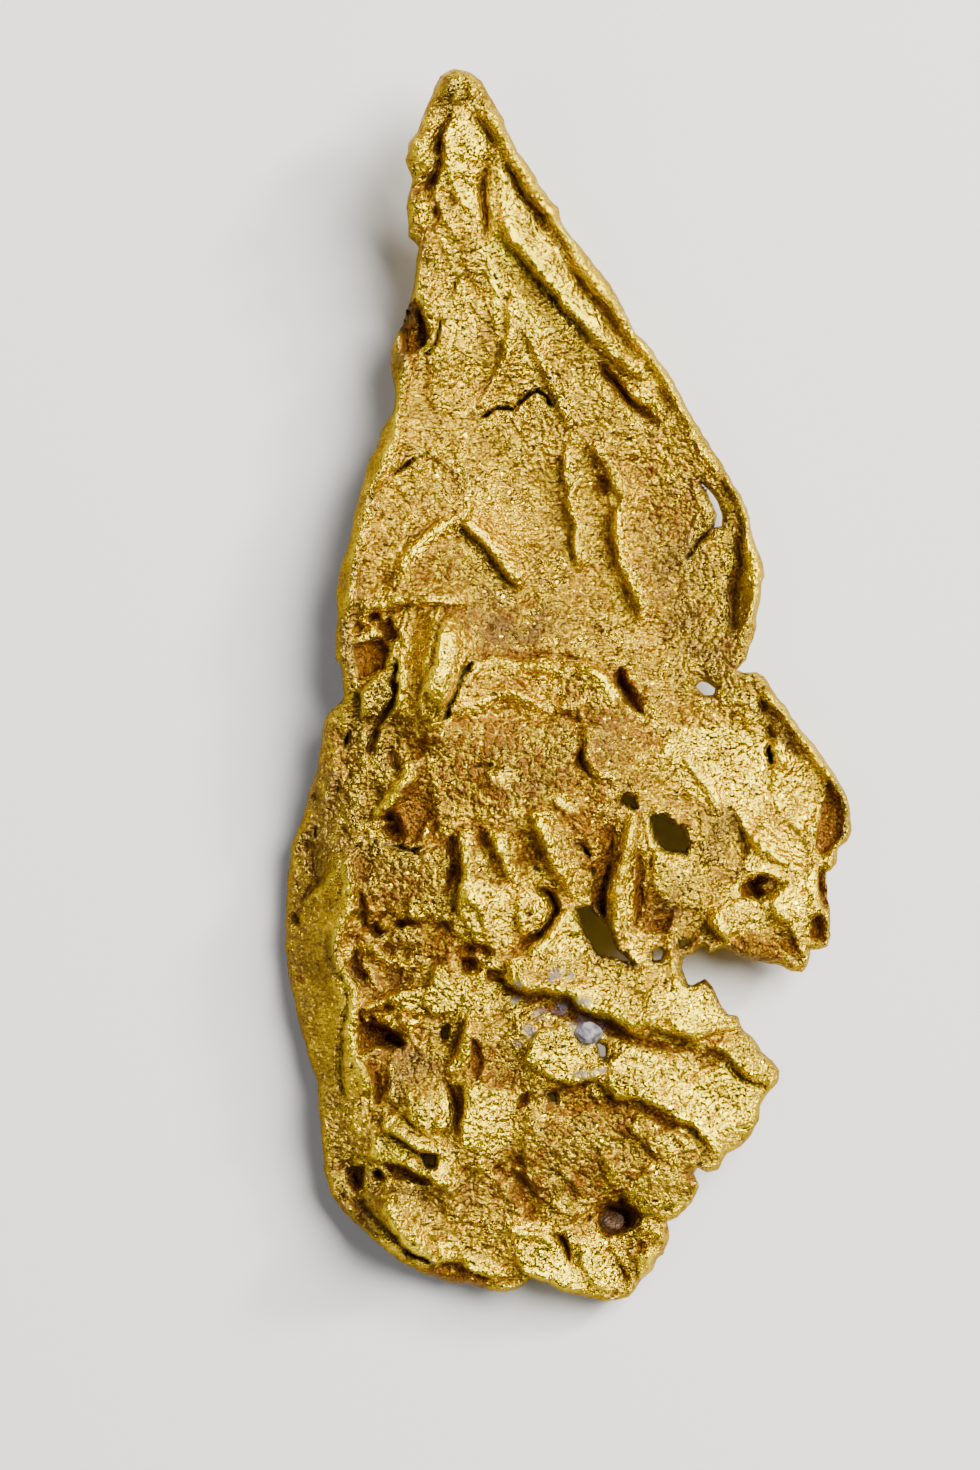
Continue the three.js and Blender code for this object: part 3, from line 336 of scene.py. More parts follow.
# Narrow folds and grooves in the face: height, reach to the left, reach to the right, line.
FINE_FOLDS = [
    # the blade's right rim: the groove inside it and the bright crest along it
    (-0.32, 0.22, 0.22, [(-3.9, 23.2), (-3.5, 22.5), (-3.25, 21.8), (-3, 21.3)]),
    (-0.36, 0.22, 0.3, [(-2.7, 21.1), (-2.4, 20.5), (-2, 19.8), (-1.5, 19.2), (-1, 18.6), (-0.7, 18.2)]),
    (-0.36, 0.2, 0.3, [(0.1, 16.8), (0.5, 16.1), (0.9, 15.6), (1.4, 15.1), (1.5, 14.7), (1.8, 14.1),
        (2.2, 13.7), (2.5, 13.3), (3, 13.1)]),
    (-0.29, 0.25, 0.25, [(3.1, 12.1), (3.5, 11.8), (4, 11.3), (4.5, 10.8)]),
    (-0.5, 0.15, 0.45, [(5.9, 8.9), (6.2, 8), (6.5, 7.6), (6.8, 7.1), (6.95, 6.4), (6.8, 5.8), (6.85, 5),
        (6.7, 4.2), (6.6, 3.4), (6.7, 2.5), (6.6, 1.9)]),
    (0.27, 0.3, 0.15, [(6.1, 8.5), (6.5, 7.8), (7, 7.1), (7.15, 6.3), (7.1, 5), (6.95, 3.6)]),
    # the long scarp down the blade, and the trough that carries it on
    (0.27, 1.6, 0.16, [(-3.4, 18.4), (-2.8, 18.4), (-2.4, 17.7), (-1.9, 17.1), (-1.3, 16.4), (-0.7, 15.7),
        (0, 15), (0.4, 14.5), (0.9, 14), (1.1, 13.5), (1.5, 13.2), (2.1, 12.8), (2.8, 12.4), (3.1, 12.2)]),
    (-0.25, 0.2, 0.25, [(-2.9, 18.2), (-2, 17), (-0.8, 15.6), (0.3, 14.3), (1, 13.4)]),
    (-0.36, 0.25, 0.35, [(1.2, 13.1), (1.7, 12.3), (2.2, 11.5), (2.7, 11), (3.2, 10.6), (3.7, 10.4)]),
    # the tip: its nose, the panel below it, and the grooves on both sides
    (0.32, 0.15, 0.3, [(-4.85, 23.4), (-4.3, 23.55), (-3.9, 23.4)]),
    (-0.25, 0.3, 0.3, [(-4.7, 23.15), (-4.3, 23.2), (-4.05, 23.1)]),
    (-0.25, 0.15, 0.25, [(-4.8, 23.2), (-5, 22.2), (-5.2, 21.5), (-5.5, 20.5), (-5.6, 19.8), (-5.5, 19),
        (-5.3, 18.4)]),
    (0.32, 0.3, 0.15, [(-4.6, 22.9), (-5, 22.1), (-4.95, 21.4), (-5.2, 20.4), (-5.35, 19.8), (-5.3, 19.2),
        (-5.1, 18.6), (-4.7, 18.2), (-4.3, 17.5)]),
    (-0.18, 0.15, 0.15, [(-6.05, 22.3), (-5.3, 22.6)]),
    (-0.18, 0.15, 0.2, [(-6.2, 19.6), (-5.7, 19.75)]),
    (-0.22, 0.2, 0.2, [(-4.75, 19.95), (-4.3, 20.05), (-4.05, 19.65)]),
    (-0.22, 0.2, 0.2, [(-4.7, 20.9), (-4.1, 20.75), (-3.7, 20.6)]),
    (-0.32, 0.2, 0.25, [(-3, 21.3), (-3.35, 20.9), (-3.5, 20.7), (-3.6, 20.1), (-3.45, 19.3),
        (-3.35, 18.5), (-3.35, 17.5)]),
    (-0.29, 0.15, 0.2, [(-5.3, 18.1), (-5.1, 17.5), (-4.9, 17), (-4.8, 16.5)]),
    # the left rim's inner line and its slits
    (-0.25, 0.25, 0.2, [(-5.85, 17), (-5.85, 16.2), (-5.9, 15.3)]),
    (-0.36, 0.15, 0.15, [(-6.7, 13.2), (-6.8, 12.7), (-6.75, 12.3)]),
    (-0.36, 0.15, 0.15, [(-6.6, 12.1), (-6.45, 11.6), (-6.3, 11.3)]),
    (-0.32, 0.2, 0.2, [(-6.6, 8.8), (-7.1, 8.5), (-7.4, 8), (-7.9, 7.3)]),
    (-0.25, 0.3, 0.2, [(-8, 9), (-7.9, 8.5), (-8, 7.8), (-8.2, 7.2), (-8.4, 6.4), (-8.5, 5.7), (-8.3, 5),
        (-8.4, 4.3), (-8.5, 3.7), (-8.7, 3.1), (-8.8, 2.3)]),
    # the middle of the blade
    (-0.22, 0.15, 0.2, [(-4.45, 17), (-4, 16.3), (-3.75, 15.8), (-3.4, 15.5)]),
    (0.23, 0.7, 0.15, [(-2.25, 16.3), (-2.35, 15.2), (-2.4, 14.1), (-2.6, 13.8), (-2.75, 13.2),
        (-2.85, 12.6), (-3.15, 12.1), (-3.5, 11.7), (-4, 11)]),
    (-0.22, 0.18, 0.18, [(-2.45, 15.9), (-2.55, 15.2), (-2.6, 14.1), (-2.8, 13.8), (-2.95, 13.2),
        (-3, 12.6), (-3.3, 12.1), (-3.6, 11.7), (-4.1, 11)]),
    (0.18, 0.2, 0.15, [(-2.9, 12.7), (-2.6, 13.1), (-2.3, 13.5)]),
    (0.27, 1.1, 0.2, [(-1.8, 14.4), (-1.6, 13.5), (-1.2, 12.8), (-0.85, 12.1), (-0.45, 11.5), (-0.25, 11),
        (0.1, 10.2)]),
    (-0.18, 0.15, 0.2, [(-1.9, 14), (-1.7, 13.3), (-1.3, 12.7), (-1, 12.1), (-0.6, 11.5), (-0.4, 11),
        (0, 10.2)]),
    (-0.18, 0.15, 0.15, [(-2.3, 10.8), (-2.2, 10.3), (-1.8, 9.7)]),
    (-0.14, 0.15, 0.15, [(-3.3, 10.3), (-3.05, 9.3)]),
    (0.23, 0.15, 0.5, [(-6.1, 9.1), (-5.6, 9.35), (-4.9, 9.8), (-4.6, 9.8)]),
    (-0.14, 0.15, 0.15, [(-7, 8), (-6.9, 7.6), (-6.2, 7.1)]),
    (-0.25, 0.2, 0.2, [(-4.9, 8.8), (-4.8, 8.3), (-4.5, 7.9)]),
    (-0.18, 0.2, 0.2, [(-3.7, 7.9), (-3.3, 7.5)]),
    # the two long dark grooves, each with its wall on the right
    (0.36, 1.2, 0.12, [(-0.25, 9.6), (-0.2, 8.4), (-0.05, 7.8), (-0.05, 7.2), (0.1, 6.5), (0.1, 5.9),
        (0.25, 5.2), (0.4, 4.5)]),
    (-0.32, 0.18, 0.25, [(-0.4, 9.4), (-0.35, 8.4), (-0.2, 7.8), (-0.2, 7.2), (-0.05, 6.5), (-0.05, 5.9),
        (0.1, 5.2), (0.2, 4.7)]),
    (0.32, 1, 0.15, [(0.7, 9.9), (1.25, 9.1), (1.6, 8.6), (1.8, 8), (2, 7.4), (1.8, 7), (1.85, 6.3),
        (2, 5.6), (2.1, 5), (2.3, 4.4), (2.5, 3.8), (2.7, 3.4), (2.9, 3), (2.8, 2.4)]),
    (-0.29, 0.2, 0.35, [(0.5, 9.8), (1.1, 9), (1.4, 8.6), (1.6, 8), (1.8, 7.4), (1.6, 7), (1.65, 6.3),
        (1.8, 5.6), (1.9, 5), (2.1, 4.4), (2.3, 3.8), (2.5, 3.4), (2.7, 3), (2.6, 2.5)]),
    # the upturned V
    (-0.25, 0.2, 0.2, [(-7.9, 4.3), (-7.2, 4.4), (-7, 4.8), (-6.7, 5.1), (-6.3, 5.6), (-6, 6.1),
        (-5.6, 6.5), (-5.1, 6.9)]),
    (0.27, 0.9, 0.2, [(-4.4, 6.7), (-3.9, 6.3), (-3.3, 5.6), (-2.5, 4.7), (-2, 4)]),
    (-0.29, 0.2, 0.3, [(-4.5, 6.4), (-4.1, 6.3), (-3.7, 5.8), (-3.2, 5.2), (-2.8, 4.6), (-2.4, 4.1),
        (-2, 3.7)]),
    # the blade's foot on the right, and the ledge over the recess on the left
    (-0.18, 0.2, 0.2, [(4, 9), (4.5, 8.4)]),
    (-0.22, 0.2, 0.3, [(4.4, 4.9), (4.4, 4.2), (4.2, 3.6)]),
    (-0.22, 0.25, 0.25, [(0.6, 2.4), (1, 2.1), (1.5, 1.6), (1.9, 1.1)]),
    (-0.35, 0.15, 0.25, [(-2, 1.1), (-1, 1.2), (0.6, 1.2)]),
    (-0.32, 0.12, 0.5, [(-8.5, 2.75), (-8, 2.9), (-7, 3.2), (-6.4, 3)]),
    (-0.22, 0.12, 0.3, [(-5.9, 3.1), (-5, 3.1), (-4, 3)]),
    (-0.22, 0.2, 0.2, [(1.2, 4.2), (1.6, 3.6), (1.7, 2.9)]),
    # the horn: its flat top's edges, and the fissures left of it
    (0.5, 0.18, 0.18, [(-4.5, 2.7), (-4.6, 1.6), (-4.9, 0.4), (-5.1, -0.6), (-5.25, -1.6)]),
    (0.45, 0.2, 0.2, [(-5.1, 2.6), (-5.45, 1.4), (-5.8, 0.2), (-6, -0.8), (-5.9, -1.6)]),
    (-0.25, 0.2, 0.2, [(-4.85, 2.3), (-5.1, 1.1), (-5.4, 0), (-5.5, -1)]),
    (-0.4, 0.2, 0.2, [(-7, 0.5), (-7.1, -0.4), (-7.4, -1.2), (-7.7, -1.8), (-8, -2.4), (-8.1, -3)]),
    (0.4, 0.25, 0.25, [(-6.7, 0.4), (-6.9, -0.4), (-7.2, -1.2), (-7.5, -1.9), (-7.7, -2.6)]),
    # the left block: its ledge, slits, and the stepped edge down to the band
    (0.3, 0.3, 0.15, [(-9.65, -1.05), (-9, -1.1), (-8.4, -1.05)]),
    (-0.4, 0.12, 0.12, [(-8.75, -1.8), (-8.85, -2.2), (-8.9, -2.5)]),
    (0.35, 0.15, 0.4, [(-7.1, -3.85), (-6.5, -3.75), (-6.25, -3.2)]),
    (0.4, 0.15, 0.25, [(-7.7, -5.3), (-7.3, -4.8), (-6.9, -4.4), (-6.5, -3.9), (-6.2, -3.3)]),
    (-0.45, 0.2, 0.25, [(-7.15, -2.5), (-6.95, -3.1), (-6.7, -3.6)]),
    (-0.35, 0.15, 0.25, [(-8.2, -4), (-7.8, -4.15), (-7.3, -4.3)]),
    (-0.35, 0.2, 0.2, [(-9.3, -5.5), (-8.9, -5.9), (-8.6, -6.2)]),
    (-0.35, 0.2, 0.2, [(-10.6, -6.4), (-10.75, -6.7), (-10.8, -6.9)]),
    (0.3, 0.2, 0.5, [(-9.4, -1.6), (-9.3, -2.6), (-9.4, -3.6), (-9.7, -4.6), (-9.9, -5.4)]),
    (-0.3, 0.15, 0.2, [(-9.3, -3.9), (-9, -4.4), (-8.7, -4.9)]),
    # the arched folds under the blade
    (0.35, 0.2, 0.5, [(-2.5, -0.1), (-1.9, -0.4), (-1.1, -0.75)]),
    (-0.3, 0.2, 0.2, [(-4.3, -0.6), (-3, -0.35), (-2.6, -0.25)]),
    (0.35, 0.2, 0.5, [(0.3, 1), (1, 0.8), (1.5, 0.3), (1.8, -0.2), (2.1, -0.8)]),
    (-0.4, 0.3, 0.2, [(1.9, 0.6), (2, 0), (2.2, -0.5), (2.9, -1.1)]),
    (0.3, 0.3, 0.3, [(1.2, -0.9), (1.8, -0.85), (2.4, -1), (3, -1.5)]),
    (0.3, 0.2, 0.6, [(-2.2, 0.9), (-1.2, 0.85), (-0.3, 0.7), (0.3, 0.95)]),
    (-0.3, 0.2, 0.2, [(-1.6, -1), (-0.8, -1.2), (0.2, -1.3), (1.2, -1.5)]),
    # the middle panels and their grooves
    (-0.4, 0.15, 0.25, [(0.45, -2.1), (0.5, -2.8), (0.8, -3.4), (1.1, -3.8)]),
    (0.25, 0.5, 0.15, [(0.6, -2.1), (0.65, -2.8), (0.95, -3.4), (1.3, -3.9)]),
    (0.3, 0.3, 0.15, [(-0.5, -4.2), (-0.1, -4.45), (0.3, -4.7)]),
    (0.3, 0.3, 0.15, [(-0.8, -4.4), (-0.4, -4.85), (0, -5.3)]),
    (-0.35, 0.2, 0.25, [(0.7, -4.8), (0.55, -5.1), (0.4, -5.5)]),
    (0.35, 0.6, 0.15, [(-1.6, -5.3), (-1.1, -6), (-0.75, -6.6), (-0.6, -7.2)]),
    (0.35, 0.4, 0.15, [(-3.5, -5.7), (-3.2, -6.2), (-2.9, -6.8), (-2.7, -7.3)]),
    (-0.4, 0.2, 0.25, [(-4.75, -5.7), (-4.7, -6.3), (-4.65, -6.9)]),
    (-0.3, 0.2, 0.2, [(-5.8, -5), (-5.6, -5.1), (-5.3, -5.5)]),
    (0.3, 0.3, 0.3, [(-6.8, -5), (-6.7, -5.5), (-6.3, -6.1)]),
    (0.3, 0.3, 0.3, [(-4.3, -7.6), (-3.8, -8.4), (-3.4, -9.3), (-3.4, -10.2)]),
    # the wing
    (-0.45, 0.2, 0.25, [(7.9, -1.3), (8.05, -2), (8, -2.6), (8.1, -3.6)]),
    (0.3, 0.5, 0.2, [(8.15, -1.2), (8.3, -2), (8.3, -2.8), (8.4, -3.6)]),
    (0.35, 0.5, 0.2, [(7, -5.9), (7.6, -6.6), (8.2, -7), (9, -7)]),
    (-0.25, 0.15, 0.15, [(6.9, -5.4), (6.95, -6.2), (6.9, -7)]),
    (-0.35, 0.15, 0.25, [(10, -7.3), (10.1, -8.5), (10.3, -9)]),
    (0.3, 0.15, 0.4, [(7.6, -8.7), (8.4, -9), (9, -9.3)]),
    (0.25, 0.15, 0.3, [(8.1, -8.3), (8.6, -8.15), (9.1, -8.1)]),
    (-0.35, 0.2, 0.3, [(5.3, -9.2), (5.5, -9.8), (5.9, -10.1), (6.4, -10.3)]),
    (0.3, 0.4, 0.15, [(5.6, -9), (5.8, -9.8), (6.5, -10.4)]),
    (0.3, 0.2, 0.2, [(4, -9.8), (4.1, -10.6), (4.2, -11.5), (4.4, -12.2)]),
    (0.3, 0.4, 0.4, [(4.6, -2.6), (5.2, -3.6), (5.8, -4.6), (6, -5.4)]),
    (-0.25, 0.3, 0.3, [(5.6, -7), (6.2, -7.6), (6.8, -8.1)]),
    # the left band
    (0.3, 0.15, 0.4, [(-8.95, -7), (-8.85, -7.6), (-8.76, -8.1), (-8.75, -8.9), (-9, -9.3), (-9.37, -9.9),
        (-9.37, -10.5), (-9.25, -11), (-9, -11.3), (-8.8, -11.8), (-8.6, -12.3), (-8.5, -12.9),
        (-8.45, -13.5), (-8.4, -14.2), (-8.3, -15), (-8.04, -16.2)]),
    (-0.35, 0.2, 0.25, [(-9.58, -9.6), (-9.68, -10.5), (-9.37, -11.4), (-8.9, -12.1), (-8.9, -12.9),
        (-9.12, -13.8), (-9.22, -15.2), (-9.1, -16.7)]),
    (-0.3, 0.2, 0.25, [(-9.7, -7), (-9.9, -7.8), (-10.5, -8.4), (-10.9, -8.8)]),
    (0.3, 0.2, 0.3, [(-10.8, -8.9), (-10.4, -8.4), (-9.8, -8.1), (-9.5, -7.3)]),
    (-0.4, 0.3, 0.2, [(-8.5, -7.8), (-8.35, -8.8), (-8.3, -9.6), (-8.7, -10.3), (-8.5, -11.5),
        (-8.1, -12.3)]),
    (0.35, 0.25, 0.25, [(-8.2, -10.3), (-7.5, -10.9), (-6.8, -11.5)]),
    (0.35, 0.2, 0.2, [(-8, -12.85), (-7.2, -12.4), (-6.5, -12.05), (-6, -12)]),
    (-0.35, 0.15, 0.25, [(-5.6, -10.7), (-5.5, -11.3), (-5.6, -12)]),
    (0.3, 0.15, 0.25, [(-8.6, -7.8), (-8, -8.8), (-7.6, -9)]),
    (0.25, 0.15, 0.2, [(-7.9, -8), (-7.7, -8.5), (-7.6, -8.9)]),
    (0.3, 0.2, 0.25, [(-7.2, -8.4), (-6.9, -8.9), (-6.6, -9.5)]),
    (-0.25, 0.15, 0.15, [(-5.8, -8.2), (-5.5, -8.7)]),
    (0.4, 0.12, 0.12, [(-8.4, -13.4), (-7.7, -13.6), (-7, -13.7), (-6.5, -14)]),
    (0.4, 0.12, 0.12, [(-8.25, -12.9), (-8.3, -13.4)]),
    (-0.5, 0.12, 0.3, [(-4.7, -7), (-4.75, -7.6), (-4.9, -8.2), (-4.6, -8.4)]),
    (0.35, 0.2, 0.2, [(-4.2, -13.4), (-4.2, -14), (-4.5, -15)]),
    # the middle of the lower half
    (0.3, 0.25, 0.25, [(2.62, -5.17), (2.38, -6.11), (1.97, -7.58), (1.83, -8.46), (1.86, -9.63),
        (2.09, -10.1)]),
    (-0.4, 0.2, 0.2, [(2.68, -6.34), (2.74, -7.28), (2.85, -8.46), (2.62, -9.34), (2.56, -9.98)]),
    (-0.4, 0.12, 0.25, [(1.68, -7.16), (1.44, -8.16), (1.39, -9.39)]),
    (0.25, 0.2, 0.2, [(2, -4.7), (1.85, -5.4), (1.7, -6), (1.3, -6.9)]),
    (-0.4, 0.15, 0.2, [(-2.2, -10.5), (-1.4, -10.1), (-0.8, -9.5), (-0.5, -8.9), (-0.8, -8.3), (-1.4, -8)]),
    (-0.3, 0.15, 0.15, [(-2.1, -9), (-2.1, -9.3), (-2.2, -9.9)]),
    (-0.35, 0.2, 0.2, [(-4.1, -10.8), (-4, -11.3), (-3.9, -11.8)]),
    (-0.3, 0.2, 0.2, [(-3.4, -11.4), (-3.2, -11.7), (-3.1, -11.9)]),
    (-0.35, 0.15, 0.35, [(-3, -11.6), (-2.6, -12.1), (-2, -12.4), (-1, -12.4), (0, -12.6), (0.3, -13.1),
        (1.2, -13.3), (2, -13.6), (2.6, -14)]),
    (0.3, 0.6, 0.15, [(-2.8, -11.8), (-1.7, -12.25), (0, -12.3), (0.3, -12.8), (0.9, -13.15),
        (1.4, -13.15), (2.5, -13.5), (3.3, -13.5), (4.1, -13.8), (5, -14.1), (6, -13.8)]),
    (-0.35, 0.12, 0.4, [(2.9, -13.7), (3.6, -13.85), (4.2, -14.05), (5, -14.3)]),
    # the lobe's overhanging edge, and the foot
    (-0.35, 0.12, 0.3, [(0.1, -15.95), (1.05, -15.7), (1.4, -16.25), (1.7, -16.6), (2.3, -16.5),
        (2.8, -16.7), (3.1, -17.1), (3.6, -17.3), (4.2, -17.4), (4.7, -17.6), (5.1, -17.9), (5.4, -18.3),
        (5.6, -18.8)]),
    (-0.3, 0.2, 0.2, [(6.2, -15.2), (7, -15.8), (8, -15.9)]),
    (-0.25, 0.15, 0.15, [(4.4, -16), (5.5, -15.4), (6, -15.1)]),
    (-0.35, 0.2, 0.25, [(-2.2, -16.8), (-2.05, -16.6), (-1.9, -16.4)]),
    (0.35, 0.15, 0.15, [(1.4, -18.7), (1.7, -19.2), (2, -19.7)]),
    (-0.4, 0.25, 0.25, [(-8, -15.2), (-7.8, -16.2), (-7.6, -17)]),
    (-0.35, 0.12, 0.12, [(-8.3, -16.7), (-7.9, -17.3), (-7.8, -17.9)]),
    (-0.45, 0.12, 0.15, [(-7.36, -17.9), (-6.6, -18.3), (-5.9, -18.7)]),
    (0.35, 0.4, 0.15, [(-7.4, -17.75), (-6.6, -18.15), (-5.9, -18.5), (-5.3, -18.6)]),
    (-0.3, 0.2, 0.25, [(-5, -15.5), (-4.7, -16.5), (-4.6, -17.8), (-4.8, -18)]),
    (-0.35, 0.2, 0.25, [(-6.9, -19.2), (-6.2, -19.6), (-5.5, -19.85)]),
    (0.3, 0.3, 0.2, [(-6.8, -19), (-6, -19.45), (-5, -19.95), (-4.3, -20.2)]),
    (0.35, 0.2, 0.3, [(-7.5, -20.3), (-7.1, -21.2), (-6.65, -21.9), (-6.4, -22.5), (-5.7, -23.1),
        (-4.9, -23.1)]),
    (-0.4, 0.15, 0.3, [(-8.8, -20.5), (-8, -21), (-7.3, -21.6), (-6.6, -22.5), (-5.5, -23.2),
        (-4.5, -23.3)]),
    (-0.3, 0.2, 0.2, [(-5.9, -21.9), (-5.4, -22.3), (-5.5, -22.8)]),
    (-0.35, 0.15, 0.2, [(-4.2, -23.6), (-3, -23.75), (-1.9, -23.7)]),
    (-0.35, 0.15, 0.15, [(-0.6, -22), (-0.3, -22.4), (0.1, -23.2)]),
    (-0.3, 0.2, 0.2, [(-1.9, -22.4), (-1.3, -22.3)]),
    (-0.3, 0.2, 0.25, [(-2.5, -19.5), (-1.6, -20.1), (-1, -20.4), (-0.7, -20.9)]),
    (-0.3, 0.15, 0.2, [(1.8, -22.8), (2.2, -23.4), (2.4, -24)]),
    (0.25, 0.2, 0.2, [(1.6, -22.2), (2.2, -23), (2.6, -23.6), (2.4, -24.2)]),
    (0.3, 0.3, 0.3, [(-3.9, -18.6), (-3.2, -19.6), (-2.4, -20.6), (-1.6, -21.4)]),
    (0.3, 0.3, 0.3, [(-2.6, -21.6), (-1.4, -22), (-0.4, -22.6)]),
    (0.3, 0.3, 0.2, [(-0.6, -19), (0.2, -19.8), (0.8, -20.5)]),
]
